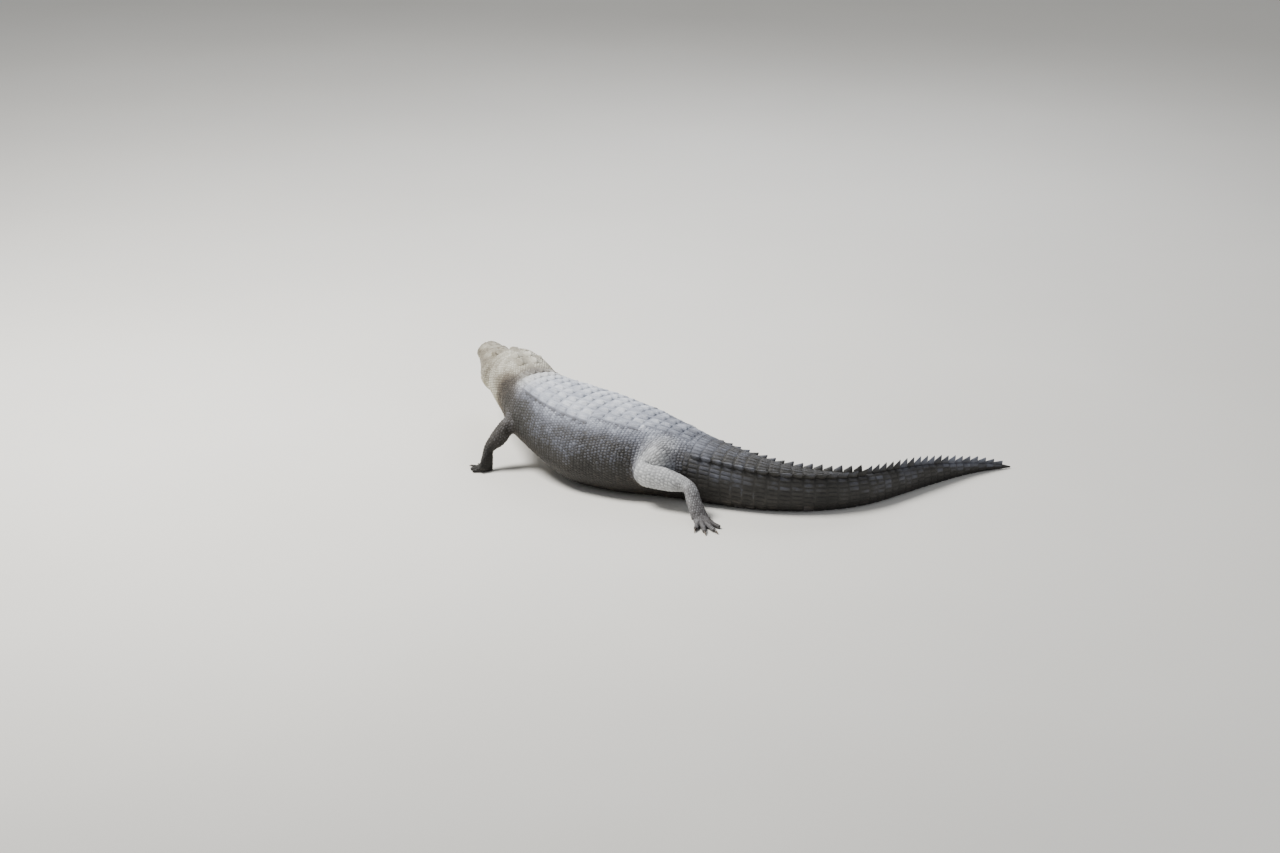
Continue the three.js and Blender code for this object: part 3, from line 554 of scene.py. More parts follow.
def bone_texture(surface, rows):
    """The head's rough bone: heights in mm over the smooth skin, and how far each place is in a crack."""
    chance = np.random.default_rng(5)
    points = surface.grid[:rows].reshape(-1, 3)

    def two_nearest(count):
        picked = chance.random((count, 2))
        tree = point_tree(surface.at(picked[:, 0] * (HEAD_LENGTH + 10), picked[:, 1] * 360))
        return np.array([[found[2] for found in tree.find_n(point, 2)] for point in points])

    plates, knobs, patches = two_nearest(620), two_nearest(1700), two_nearest(70)
    # Patches where the cracks run deeper and, with the painted shade in them, darker.
    crack_strength = 0.35 + 0.65 * bell(patches[:, 0] / 17)
    crack = (crack_strength * bell((plates[:, 1] - plates[:, 0]) / 2.8)).reshape(rows, -1)
    knob = bell(knobs[:, 0] / 3.6).reshape(rows, -1)
    return 0.9 * knob - 1.1 * crack, crack


def tail_folds(at, side):
    """How strongly a place of the tail's base stands in a fold. The folds lean forward as they run down."""
    strengths = [share * bell((at - place + 0.35 * (side - 110)) / 8) for place, share in TAIL_FOLDS]
    return sum(strengths) * smooth(side, 74, 100)


def body_lift(at, degrees):
    """How far the skin stands off the plain body: under the scales, with folds of the neck and muscles."""
    side = from_back(degrees)
    folds = 0
    for place, depth, lean in NECK_FOLDS:
        folds = folds + depth * bell((at - place - lean * (side - 90) / 90) / 6.5)
    sides = smooth(side, 55, 80) * (1 - 0.6 * smooth(side, 140, 175))
    shoulder = 7 * bell((at - SHOULDER_AT) / 62) * bell((side - 98) / 30)
    hip = 8 * bell((at - HIP_AT) / 80) * bell((side - 84) / 30)
    flank_fold = 3.0 * bell((side - 118) / 5) * smooth(at, 760, 860) * (1 - smooth(at, 1180, 1270))
    muscles = shoulder + hip + TAIL_FOLD_HEIGHT * tail_folds(at, side)
    return muscles - flank_fold - folds * sides - SKIN_DEPTH * smooth(at, HEAD_LENGTH, 430)


def make_body_surface():
    """The surface of head, neck, trunk and tail, and for its points tone, warmth, relief and bone."""
    angles = body_angles()
    head_rows = np.concatenate([[0, 1, 2.5, 4.5, 7, 9.5, 12, 14.5], np.arange(17, HEAD_LENGTH, 2.5)])
    trunk_rows, tail_rows = np.arange(HEAD_LENGTH, TORSO_END, 7), np.arange(TORSO_END, TOTAL_LENGTH, 8)
    rows = np.concatenate([head_rows, trunk_rows, tail_rows, [TOTAL_LENGTH]])
    head_points = head_details(head_section(head_rows[:, None], angles[None]))
    head = from_head(head_points)
    at = rows[len(head_rows) :][:, None]
    body = body_point(at, angles[None], body_lift(at, angles[None]))
    surface = Surface(rows, angles, np.vstack([head, body]))
    count = len(head_rows) + 6
    near_eye = np.zeros((count, len(angles)))
    for side in (-1, 1):
        from_eye = np.linalg.norm(surface.grid[:count] - from_head(eye_centre(side)), axis=-1)
        near_eye += bell(from_eye / 22)
    fade = 1 - smooth(rows[:count], 330, HEAD_LENGTH + 20)[:, None]
    bony = fade * (1 - np.minimum(near_eye * 1.4, 1))
    height, crack = bone_texture(surface, count)
    grid = surface.grid.copy()
    grid[:count] += surface.normals[:count] * (height * bony)[..., None]
    grid[..., 2] = np.maximum(grid[..., 2], BELLY_OFF_FLOOR)
    surface.set_grid(grid)

    marks = np.zeros((len(rows), len(angles), 4))
    marks[..., :2] = body_tone_and_shade(rows[:, None], angles[None])
    # Painted shade in the nostrils, ear slits and the groove of the mouth.
    marks[: len(head_rows), :, 0] -= painted_head_shade(head_points)
    # Relief of the skull's skin: the cracks lower it, which darkens them as painted shade.
    marks[:count, :, 2] = bony * (0.1 - 1.4 * crack)
    marks[:count, :, 3] = bony
    return surface, marks.reshape(-1, 4)


# Limbs and digits


def path_surface(places, girths, step, sides, reference, end_side=None):
    """A tube through places with two half widths at each, rounded at its ends.

    The reference sets how its section is turned at the root. With end_side, the section's width comes to lie
    along that direction at the end.
    """
    places = np.array(places, float)
    travelled = run_of(places)
    along = np.arange(0, travelled[-1] + step / 2, step)
    centres = np.stack([curve(list(zip(travelled, places[:, k])))(along) for k in range(3)], -1)
    wide = curve([(d, g[0]) for d, g in zip(travelled, girths)])(along)
    deep = curve([(d, g[1]) for d, g in zip(travelled, girths)])(along)
    tangents = unit(np.gradient(centres, axis=0))
    sideways = [unit(np.cross(tangents[0], np.array(reference, float)))]
    for tangent in tangents[1:]:
        sideways.append(unit(sideways[-1] - tangent * (sideways[-1] @ tangent)))
    sideways = np.array(sideways)
    if end_side is not None:
        wanted = unit(end_side - tangents * (tangents @ end_side)[:, None])
        turned = np.arctan2((np.cross(sideways, wanted) * tangents).sum(1), (sideways * wanted).sum(1))
        turned = (turned + math.pi / 2) % math.pi - math.pi / 2
        turned = (turned * smooth(along / along[-1], 0.5, 0.85))[:, None]
        sideways = sideways * np.cos(turned) + np.cross(tangents, sideways) * np.sin(turned)
    depth = np.cross(tangents, sideways)
    caps = np.radians([15, 38, 62, 80])

    def ring(i, share, shift):
        turn = np.radians(np.arange(0, 360, 360 / sides))[:, None]
        return (
            centres[i]
            + tangents[i] * shift
            + sideways[i] * wide[i] * share * np.cos(turn)
            + depth[i] * deep[i] * share * np.sin(turn)
        )

    rings = [ring(i, 1, 0) for i in range(len(along))]
    marks = list(along)
    reach = min(wide[0], deep[0])
    rings = [ring(0, math.cos(cap), -reach * math.sin(cap)) for cap in caps[::-1]] + rings
    marks = [-reach * math.sin(cap) for cap in caps[::-1]] + marks
    reach = min(wide[-1], deep[-1])
    rings += [ring(-1, math.cos(cap), reach * math.sin(cap)) for cap in caps]
    marks += [along[-1] + reach * math.sin(cap) for cap in caps]
    grid = np.array(rings)
    grid[..., 2] = np.maximum(grid[..., 2], OFF_FLOOR)
    return Surface(marks, np.arange(0, 360, 360 / sides), grid)


def make_leg(name):
    """The surfaces of one leg: its limb, its sole and its digits, with the way that each digit points."""
    at, side, toes, joints = LEGS[name]
    x, y, turn = station(at)
    forward = np.array([math.cos(turn), math.sin(turn), 0])
    left = np.array([-math.sin(turn), math.cos(turn), 0])

    def place(ahead, outward, high):
        return np.array([x, y, 0]) + forward * ahead + left * (side * outward) + np.array([0, 0, high])

    fore = at == SHOULDER_AT
    girths = FORE_GIRTHS if fore else HIND_GIRTHS
    girths = [(w - SKIN_DEPTH, d - SKIN_DEPTH) for w, d in girths]
    root, bend, end, ball = (place(*joint) for joint in joints)
    muscle = np.array([0, 0, 4.0 if fore else 8.0])
    toes_turn = math.radians(toes + (0 if fore else 8))
    toes_ahead = forward * math.cos(toes_turn) + left * (side * math.sin(toes_turn))
    across = np.array([-toes_ahead[1], toes_ahead[0], 0])
    places = [root, (root + bend) / 2 + muscle, bend, (bend + end) / 2, end, end * 0.45 + ball * 0.55, ball]
    limb = path_surface(places, girths, 5.5, 44, forward, across)
    thick = FORE_DIGIT if fore else HIND_DIGIT
    sole_stops = [ball + toes_ahead * shift for shift in SOLE_REACH[fore]]
    for stop, (_, deep) in zip(sole_stops, SOLE_GIRTHS[fore]):
        stop[2] = deep + 1
    sole = path_surface(sole_stops, SOLE_GIRTHS[fore], 4, 32, (0, 0, 1))
    digits = []
    for angle, length, claw in FORE_DIGITS if fore else HIND_DIGITS:
        aim = math.radians(toes + angle)
        ahead = forward * math.cos(aim) + left * (side * math.sin(aim))
        stops = [ball + ahead * (length * share) for share in (0, 0.25, 0.5, 0.75, 1)]
        heights = (thick + 3, thick + 2.6, thick + 1.5, thick * 0.8, thick * 0.62)
        for stop, high in zip(stops, heights):
            stop[2] = high
        knuckles = [(thick + 1, thick), (thick * 0.92, thick * 0.9), (thick * 1.02, thick)]
        knuckles += [(thick * 0.8, thick * 0.8), (thick * 0.72, thick * 0.68)]
        tube = path_surface(stops, knuckles, 4, 18, (0, 0, 1))
        sizes = {"claw": claw, "thick": thick, "length": length}
        digits.append({"tube": tube, "ahead": ahead, "tip": stops[-1], **sizes})
    return {"name": name, "fore": fore, "limb": limb, "sole": sole, "digits": digits, "ball": ball}


def web_object(leg, first, second):
    """The web between two digits: a thin plate with a hollow front edge, rooted in both."""
    share = FORE_WEB if leg["fore"] else HIND_WEB
    one, two = leg["digits"][first], leg["digits"][second]
    reach, across = 8, 8
    points = []
    for level in (4.0, 8.0):
        for i in range(reach):
            for j in range(across):
                side = j / (across - 1)
                length = (one["length"] * (1 - side) + two["length"] * side) * share
                hollow = 1 - 0.35 * math.sin(math.pi * side)
                ahead = unit(one["ahead"] * (1 - side) + two["ahead"] * side)
                spot = leg["ball"] + ahead * (2 + length * hollow * i / (reach - 1))
                points.append((spot[0], spot[1], level))
    quads = []
    top = reach * across
    for i in range(reach - 1):
        for j in range(across - 1):
            a = i * across + j
            quads.append((a, a + 1, a + across + 1, a + across))
            quads.append((top + a, top + a + across, top + a + across + 1, top + a + 1))
    border = list(range(across)) + [i * across + across - 1 for i in range(1, reach)]
    border += [(reach - 1) * across + j for j in range(across - 2, -1, -1)]
    border += [i * across for i in range(reach - 2, 0, -1)]
    for a, b in zip(border, border[1:] + border[:1]):
        quads.append((b, a, top + a, top + b))
    return outward_normals(mesh_object("web", points, quads))


# One skin from all of these


def body_tone_and_shade(at, degrees):
    """Tone (0 dark, 1 pale) and warmth of the hide on head, neck, trunk and tail, the tone holding painted
    light and shade as well as the hide's own.
    """
    side = from_back(degrees)
    tone_curves = (BACK_TONE, SIDE_TONE, LOW_TONE, BELLY_TONE)
    upper, middle, low, belly = (curve(points)(at) for points in tone_curves)
    tone = upper + (middle - upper) * smooth(side, 24, 64)
    tone = tone + (low - tone) * smooth(side, 68, 112)
    tone = tone + (belly - tone) * smooth(side, 140, 168)
    # A dark line just outside the shield's edge: painted shade under its edge scutes.
    shade_beside_shield = bell((side - shield_edge(at) - 2.5) / 2.6)
    tone = tone - 0.34 * shade_beside_shield * smooth(at, 600, 680) * (1 - smooth(at, 1330, 1420))
    tone = tone + tail_folds(at, side) * (1 - smooth(side, 140, 160))
    front_warmth = 0.85 * (1 - smooth(at, 540, 740))
    warm = front_warmth + 0.9 * smooth(side, 84, 118) * (1 - 0.6 * smooth(at, 1300, 1700))
    return np.stack(np.broadcast_arrays(tone, np.clip(warm, 0, 1)), -1)


def shield_edge(at):
    """Degrees from the midline of the back to the edge of the shield."""
    row = np.clip(((at - SHIELD_FROM) / SHIELD_ROW).astype(int), 0, len(SHIELD_COLUMNS) - 1)
    return np.array(SHIELD_COLUMNS)[row] * HALF_COLUMN


def leg_tone_and_shade(leg, along):
    """Tone and warmth of a leg, with painted shade on the forelegs and painted light on the hind legs in the
    tone, and neither relief nor bone.
    """
    tone = curve(FORELEG_TONE if leg["fore"] else HINDLEG_TONE)(along)
    plain = np.zeros(tone.shape)
    return np.stack([tone, plain + LEG_WARMTH, plain, plain], -1)


def neighbour_mean(values, edges, rounds, weight):
    """Values drawn towards the mean of their neighbours, as far as the weight says."""
    count = np.bincount(edges.ravel(), minlength=len(values))[:, None]
    for _ in range(rounds):
        total = np.stack(
            [
                np.bincount(edges[:, 0], values[edges[:, 1], k], len(values))
                + np.bincount(edges[:, 1], values[edges[:, 0], k], len(values))
                for k in range(values.shape[1])
            ],
            -1,
        )
        values = values + weight[:, None] * (total / np.maximum(count, 1) - values)
    return values


def turned_from(vectors, old, new):
    """Vectors after the turn that takes one direction to another."""
    axis = np.cross(old, new)
    cosine = (old * new).sum(-1, keepdims=True)
    along = axis * (axis * vectors).sum(-1, keepdims=True)
    return vectors * cosine + np.cross(axis, vectors) + along / (1 + cosine)


def nearest(points, targets):
    """For each target, the number of the nearest point and how far it is."""
    tree = point_tree(points)
    found = [tree.find(target)[1:] for target in targets]
    return np.array([i for i, _ in found]), np.array([distance for _, distance in found])


def make_skin(body, body_marks, legs):
    """One closed mesh of body, limbs, digits and webs, its points in mm, and tone, warmth, relief, bone."""
    skin = loft_object("skin", body.grid)
    added = bpy.data.collections.new("flesh_to_join")
    bpy.context.scene.collection.children.link(added)
    flesh = []
    limb_points, limb_marks = [], []
    for leg in legs:
        surfaces = [leg["limb"], leg["sole"]] + [digit["tube"] for digit in leg["digits"]]
        flesh += [loft_object("flesh", surface.grid) for surface in surfaces]
        flesh += [web_object(leg, k, k + 1) for k in range(len(leg["digits"]) - 1)]
        length = leg["limb"].along[-1]
        for k, surface in enumerate(surfaces):
            along = np.repeat(surface.along, len(surface.angles)) + (length if k else 0)
            limb_points.append(surface.grid.reshape(-1, 3))
            limb_marks.append(leg_tone_and_shade(leg, along))
    for piece in flesh:
        bpy.context.scene.collection.objects.unlink(piece)
        added.objects.link(piece)
    join = skin.modifiers.new("join", "BOOLEAN")
    join.operation = "UNION"
    join.operand_type = "COLLECTION"
    join.collection = added
    join.solver = "MANIFOLD"
    joined = bpy.data.meshes.new_from_object(skin.evaluated_get(bpy.context.evaluated_depsgraph_get()))
    skin.modifiers.clear()
    skin.data = joined
    for piece in flesh:
        bpy.data.objects.remove(piece)
    bpy.data.collections.remove(added)

    points = read_out(joined.vertices, "co", 3) / MM
    limb_points, limb_marks = np.vstack(limb_points), np.vstack(limb_marks)
    body_points = body.grid.reshape(-1, 3)
    on_body, body_gap = nearest(body_points, points)
    on_limb, limb_gap = nearest(limb_points, points)
    marks = np.where((body_gap < limb_gap)[:, None], body_marks[on_body], limb_marks[on_limb])

    edges = read_out(joined.edges, "vertices", 2, int)
    from_joint = np.maximum(body_gap, limb_gap)
    points = neighbour_mean(points, edges, 24, 0.7 * (1 - smooth(from_joint, 10, 34)))
    marks = neighbour_mean(marks, edges, 40, 0.8 * (1 - smooth(from_joint, 20, 60)))
    points[:, 2] = np.maximum(points[:, 2], OFF_FLOOR)
    joined.vertices.foreach_set("co", (points * MM).ravel())
    joined.update()
    return skin, points, marks


def write_attribute(mesh, name, kind, values):
    key = "vector" if kind == "FLOAT_VECTOR" else "value"
    made = mesh.attributes.new(name, kind, "POINT")
    made.data.foreach_set(key, np.asarray(values, np.float32).ravel())


# Scales: a template, a sheet of them laid out flat, and the sheet wrapped on the skin


def template_object(name, points, faces, relief):
    mesh = bpy.data.meshes.new(name)
    mesh.from_pydata(points, [], faces)
    write_attribute(mesh, "relief", "FLOAT", relief)
    return bpy.data.objects.new(name, mesh)


def scale_template(name, along, across, roundness, dome, keel, peak=0.4, sink=0.5, worn=1.0):
    """One closed scale of unit half length and half width, with its rim sunk and a keel along it."""
    aa, bb = np.meshgrid(np.linspace(-1, 1, along + 1), np.linspace(-1, 1, across + 1), indexing="ij")
    x = aa * np.sqrt(1 - roundness * bb * bb / 2)
    y = bb * np.sqrt(1 - roundness * aa * aa / 2)
    inside = 1 - np.maximum(np.abs(aa), np.abs(bb)) ** 4
    plate = dome * np.sqrt(np.maximum(1 - 0.55 * (aa * aa + bb * bb), 0)) * np.minimum(inside * 1.6, 1)
    fall = np.where(aa < peak, (aa + 1) / (1 + peak), (1 - aa) / (1 - peak))
    ridge = keel * np.clip(fall, 0, 1) ** 0.9 * bell(bb / 0.24) * np.minimum(inside * 1.4, 1)
    rim = (np.abs(aa) > 0.999) | (np.abs(bb) > 0.999)
    z = np.where(rim, -sink, plate + ridge)
    relief = worn * np.clip(np.where(rim, 0, z / max(dome + keel, 1e-6)), 0, 1)
    i, j = np.meshgrid(np.arange(along), np.arange(across), indexing="ij")
    corner = (i * (across + 1) + j).ravel()
    faces = np.stack([corner, corner + across + 1, corner + across + 2, corner + 1], -1).tolist()
    number = np.arange((along + 1) * (across + 1)).reshape(along + 1, across + 1)
    underside = [number[0, :-1], number[:-1, -1], number[-1, :0:-1], number[:0:-1, 0]]
    faces.append(np.concatenate(underside).tolist())
    return template_object(name, np.stack([x, y, z], -1).reshape(-1, 3).tolist(), faces, relief)


def blade_template(name, lean=0.275):
    """A crest blade of unit half length, half thickness and height, leaning back, with a steep rear edge."""
    stations = np.linspace(-1, 1, 13)
    left = [(-1.0, -0.3), (-1.0, 0.0), (-0.72, 0.35), (-0.4, 0.72)]
    profile = left + [(0, 1)] + [(-y, z) for y, z in reversed(left)]
    front = 0.42 + 0.58 * ((stations + 1) / 1.55) ** 1.1
    rear = 1 - 0.75 * ((stations - 0.55) / 0.45) ** 2
    top = np.where(stations < 0.55, front, rear)
    slim = np.maximum(1 - np.abs(stations) ** 3, 0.12)
    points, relief = [], []
    for s, high, thin in zip(stations, top, slim):
        for y, z in profile:
            above = max(z, 0)
            ahead = s * (1 - 0.12 * above) + lean * above**1.5 * high
            points.append((ahead, y * thin, z * high if z > 0 else z))
            relief.append(above * high)
    count = len(profile)
    faces = []
    for i in range(len(stations) - 1):
        for j in range(count):
            k = (j + 1) % count
            faces.append((i * count + j, i * count + k, (i + 1) * count + k, (i + 1) * count + j))
    last = (len(stations) - 1) * count
    faces.append(tuple(range(count))[::-1])
    faces.append(tuple(last + j for j in range(count)))
    return template_object(name, points, faces, relief)


def node(tree, kind, settings=None, stops=(), **inputs):
    """Adds one node: its settings, a ramp's stops, and for each input a value or the socket it is fed by."""
    made = tree.nodes.new(kind)
    for name, value in (settings or {}).items():
        setattr(made, name, value)
    for _ in stops[2:]:
        made.color_ramp.elements.new(0.5)
    if stops:
        for element, (place, colour) in zip(made.color_ramp.elements, stops):
            element.position = place
            element.color = linear(colour)
    for name, value in inputs.items():
        key = int(name[1:]) if name[0] == "i" and name[1:].isdigit() else name.replace("_", " ")
        socket = made.inputs[key]
        if isinstance(value, bpy.types.NodeSocket):
            tree.links.new(value, socket)
        else:
            socket.default_value = value
    return made


def scale_sheet_tree():
    """Puts a template on each point, sized by the point, and varies size and turn."""
    tree = bpy.data.node_groups.new("scale_sheet", "GeometryNodeTree")
    wanted = {"Points": "Geometry", "Template": "Object", "Size variation": "Float", "Turn": "Float"}
    for name, kind in {**wanted, "Seed": "Int", "Material": "Material"}.items():
        tree.interface.new_socket(name, in_out="INPUT", socket_type=f"NodeSocket{kind}")
    tree.interface.new_socket("Sheet", in_out="OUTPUT", socket_type="NodeSocketGeometry")
    given = tree.nodes.new("NodeGroupInput").outputs
    template = node(tree, "GeometryNodeObjectInfo", Object=given["Template"]).outputs["Geometry"]
    vectors = {"data_type": "FLOAT_VECTOR"}
    size = node(tree, "GeometryNodeInputNamedAttribute", vectors, Name="size").outputs[0]
    low, high = (
        node(tree, "ShaderNodeMath", {"operation": way}, i0=1.0, i1=given["Size variation"]).outputs[0]
        for way in ("SUBTRACT", "ADD")
    )
    least = node(tree, "ShaderNodeMath", {"operation": "MULTIPLY"}, i0=given["Turn"], i1=-1.0).outputs[0]
    other = node(tree, "FunctionNodeIntegerMath", {"operation": "ADD"}, i0=given["Seed"], i1=7).outputs[0]
    number = {"data_type": "FLOAT"}
    vary, turn = (
        node(tree, "FunctionNodeRandomValue", number, i2=first, i3=last, Seed=seed).outputs[1]
        for first, last, seed in ((low, high, given["Seed"]), (least, given["Turn"], other))
    )
    sized = node(tree, "ShaderNodeVectorMath", {"operation": "SCALE"}, i0=size, Scale=vary).outputs[0]
    turned = node(tree, "FunctionNodeAxisAngleToRotation", Angle=turn).outputs[0]
    how = {"Points": given["Points"], "Instance": template, "Rotation": turned, "Scale": sized}
    placed = node(tree, "GeometryNodeInstanceOnPoints", **how).outputs[0]
    real = node(tree, "GeometryNodeRealizeInstances", Geometry=placed).outputs[0]
    dressed = node(tree, "GeometryNodeSetMaterial", Geometry=real, Material=given["Material"]).outputs[0]
    tree.links.new(dressed, tree.nodes.new("NodeGroupOutput").inputs[0])
    return tree


def laid_out(tree, name, places, sizes, template, material, vary, turn, seed):
    """The flat sheet as a plain mesh, and for each of its points the number of its scale."""
    mesh = bpy.data.meshes.new(name)
    mesh.from_pydata(places.tolist(), [], [])
    write_attribute(mesh, "size", "FLOAT_VECTOR", sizes)
    number = mesh.attributes.new("number", "INT", "POINT")
    number.data.foreach_set("value", np.arange(len(places), dtype=np.int32))
    sheet = bpy.data.objects.new(name, mesh)
    bpy.context.scene.collection.objects.link(sheet)
    laying = sheet.modifiers.new("laying", "NODES")
    laying.node_group = tree
    inputs = {item.name: item.identifier for item in tree.interface.items_tree if item.in_out == "INPUT"}
    values = {"Template": template, "Size variation": vary, "Turn": turn, "Seed": seed, "Material": material}
    for label, value in values.items():
        laying[inputs[label]] = value
    flat = bpy.data.meshes.new_from_object(sheet.evaluated_get(bpy.context.evaluated_depsgraph_get()))
    sheet.modifiers.clear()
    sheet.data = flat
    bpy.data.meshes.remove(mesh)
    owner = read_out(flat.attributes["number"].data, "value", 1, np.int32)
    flat.attributes.remove(flat.attributes["number"])
    return sheet, owner


class Coat:
    """Grows scale coats on the finished skin."""

    def __init__(self, skin_points, skin_faces, marks):
        self.tree = scale_sheet_tree()
        self.skin = BVHTree.FromPolygons(skin_points.tolist(), skin_faces)
        self.faces = skin_faces
        self.marks = marks
        self.chance = np.random.default_rng(3)

    def grow(self, name, batches, template, material, slot, vary, turn, seed, reach=8.0, sharp=35, luck=1.0):
        """One coat piece. A batch is a surface and rows of along, angle, half length, half width and height.

        A scale whose root lies off the skin, as where a leg joins the body, is moved and tilted to sit on
        it. Where the skin is further off than the reach, it is left out.
        """
        places = np.vstack([rows for _, rows in batches])
        group = np.repeat(np.arange(len(batches)), [len(rows) for _, rows in batches])
        roots = np.vstack([surface.at(rows[:, 0], rows[:, 1]) for surface, rows in batches])
        metric = np.concatenate([surface.mm_per_degree(rows[:, 0], rows[:, 1]) for surface, rows in batches])
        lifted = np.vstack([surface.at(rows[:, 0], rows[:, 1], 1.0) for surface, rows in batches])
        seats = [self.skin.find_nearest(Vector(root)) for root in roots]
        seated = np.array([seat[0] for seat in seats])
        gap = np.array([seat[3] for seat in seats])
        upright = unit(lifted - roots)
        off_skin = np.array([seat[1] for seat in seats])
        tilted = unit(upright + smooth(gap, 0.2, 1.8)[:, None] * (off_skin - upright))
        kept = (gap < reach) & ((upright * tilted).sum(1) > 0.3)
        mark = self.marks[[self.faces[seat[2]][0] for seat in seats]]
        fitted = (places, group, metric, roots, seated, upright, tilted, mark)
        places, group, metric, roots, seated, upright, tilted, mark = (values[kept] for values in fitted)
        flat_places = np.stack([places[:, 0], places[:, 1] * metric, np.zeros(len(places))], -1)
        laid = (self.tree, name, flat_places, places[:, 2:5], template, material, vary, turn, seed)
        sheet, owner = laid_out(*laid)
        offset = read_out(sheet.data.vertices, "co", 3) - flat_places[owner]
        along = places[owner, 0] + offset[:, 0]
        angle = places[owner, 1] + offset[:, 1] / np.maximum(metric[owner], 0.05)
        points = np.zeros((len(owner), 3))
        for k, (surface, _) in enumerate(batches):
            own = group[owner] == k
            points[own] = surface.at(along[own], angle[own], offset[own, 2])
        points = seated[owner] + turned_from(points - roots[owner], upright[owner], tilted[owner])
        points[:, 2] = np.maximum(points[:, 2], 0)
        sheet.data.vertices.foreach_set("co", (points * MM).ravel())
        luck = MIDDLE_LUCK + luck * (self.chance.random(len(places)) - 0.5)
        self.finish(sheet, owner, offset, places, np.column_stack([mark, luck]), sharp)

    def finish(self, sheet, owner, offset, places, marks, sharp):
        """Marks each scale, gives it its own spot in the bake map, and names the piece's body."""
        mesh = sheet.data
        write_attribute(mesh, "tone_and_shade", "FLOAT_VECTOR", marks[owner])
        span = np.ptp(places[:, :2], axis=0)
        home = (places[:, :2] - places[:, :2].min(0)) / np.maximum(span, 1e-6)
        size = np.maximum(np.abs(offset[:, :2]).max(0), 1e-6)
        spots = 0.004 + 0.992 * home[owner] + 0.0015 * offset[:, :2] / size
        corners = read_out(mesh.loops, "vertex_index", 1, int)
        bake_map = mesh.uv_layers.new(name="OFBake")
        bake_map.data.foreach_set("uv", spots[corners].astype(np.float32).ravel())
        mesh.update()
        mesh.shade_smooth()
        mesh.set_sharp_from_angle(angle=math.radians(sharp))
        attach(sheet, "root")


# Where the scales grow


def both_sides(rows):
    """Rows given by degrees from the midline of the back, on the left and on the right."""
    rows = np.array(rows, float)
    left, right = rows.copy(), rows.copy()
    left[:, 1] = 90 - rows[:, 1]
    right[:, 1] = 90 + rows[:, 1]
    return np.vstack([left, right])


def shield_places():
    """The scutes of the back in their rows, flatter towards the edge, with loose small ones beside them."""
    chance = np.random.default_rng(21)
    rows = []
    for row, columns in enumerate(SHIELD_COLUMNS):
        at = SHIELD_FROM + (row + 0.5) * SHIELD_ROW
        for column in range(columns // 2):
            degrees = (2 * column + 1) * HALF_COLUMN
            wide = 0.94 * HALF_COLUMN * BODY_SURFACE.mm_per_degree(at, 90 - degrees)
            outer = degrees / (columns * HALF_COLUMN)
            high = (1 - 0.55 * outer**2) * (0.8 + 0.4 * chance.random())
            long = SHIELD_ROW * (0.49 - 0.05 * outer**3)
            spot = (at + chance.uniform(-1.6, 1.6), degrees + chance.uniform(-0.3, 0.3))
            rows.append((*spot, long, wide * (1 - 0.08 * outer**3), high))
        for spread, size in ((1.0, 0.66), (2.5, 0.5)):
            degrees = (columns + spread) * HALF_COLUMN + chance.uniform(-1.2, 1.2)
            if chance.random() < 0.72:
                shift = chance.uniform(-0.18, 0.18) * SHIELD_ROW
                rows.append((at + shift, degrees, SHIELD_ROW * 0.44 * size, wide * size, 0.62 * size))
    return both_sides(rows)


def rows_over(surface, start, end, low, high, size, chance, crowd=1.0, jitter=0.3, mirrored=True, big=0.0):
    """Rows of scales of about one size between two angles, each row half a scale off the last.

    The size is half length, half width and height. A few scales are larger, by the share named big.
    """
    length, width, height = size
    rows = []
    count = max(int(round((end - start) / (length * 2 * crowd))), 1)
    for k in range(count):
        at = start + (k + 0.5) * (end - start) / count
        first = low(at) if callable(low) else low
        last = high(at) if callable(high) else high
        degrees = np.linspace(first, last, 60)
        arc = run_of(surface.at(at, 90 - degrees if mirrored else degrees))
        across = int(arc[-1] / (width * 2 * crowd))
        if across < 1:
            continue
        spots = (np.arange(across) + 0.25 + 0.5 * (k % 2)) * arc[-1] / across
        for angle in np.interp(spots, arc, degrees):
            moved = at + jitter * length * (2 * chance.random() - 1)
            grown = 1 + big * (chance.random() < BIG_SCALES)
            rows.append((moved, angle, length * grown, width * grown, height * grown))
    return rows


def flank_places():
    """Round scales of the flanks, from the edge of the shield to the plates of the belly."""
    chance = np.random.default_rng(31)

    def upper_edge(at):
        return shield_edge(np.array(at)) + 1.5

    size = (6.6, 5.8, 1.7)
    ends = (FLANK_FROM, SHIELD_TO)
    return both_sides(rows_over(BODY_SURFACE, *ends, upper_edge, 124, size, chance, crowd=0.92, big=0.38))


def belly_places():
    """Flat plates in straight rows across the belly."""
    chance = np.random.default_rng(37)
    ends, size = (BELLY_FROM, BELLY_TO), (14, 12.5, 1.2)
    return both_sides(rows_over(BODY_SURFACE, *ends, 126, 179, size, chance, crowd=0.99, jitter=0.0))


def neck_places():
    """Round scales of the neck outside the nape's scutes, and flatter ones under the throat."""
    chance = np.random.default_rng(41)
    neck, throat = (5.8, 5.6, 1.8), (6.5, 5.6, 1.0)
    rows = rows_over(BODY_SURFACE, HEAD_LENGTH, FLANK_FROM, 3, 112, neck, chance, crowd=0.93)
    rows = [row for row in rows if not near_nuchal(row[0], row[1])]
    ends = (THROAT_FROM, BELLY_FROM)
    rows += rows_over(BODY_SURFACE, *ends, 112, 178, throat, chance, crowd=0.97, jitter=0.05)
    return both_sides(rows)


def near_nuchal(at, degrees):
    """Whether a place is covered by one of the nape's scutes."""
    return any(
        abs(at - place) < long * 0.52 and abs(degrees - angle) * NECK_DEGREE < wide * 0.5
        for place, angle, long, wide, _ in NUCHAL
    )


def nuchal_places():
    """The nape's scutes, a tenth larger than in the solids, with heights as shares of the tallest."""
    tallest = max(scute[4] for scute in NUCHAL)
    rows = [(at, angle, long * 0.55, wide * 0.55, high / tallest) for at, angle, long, wide, high in NUCHAL]
    return both_sides(rows)


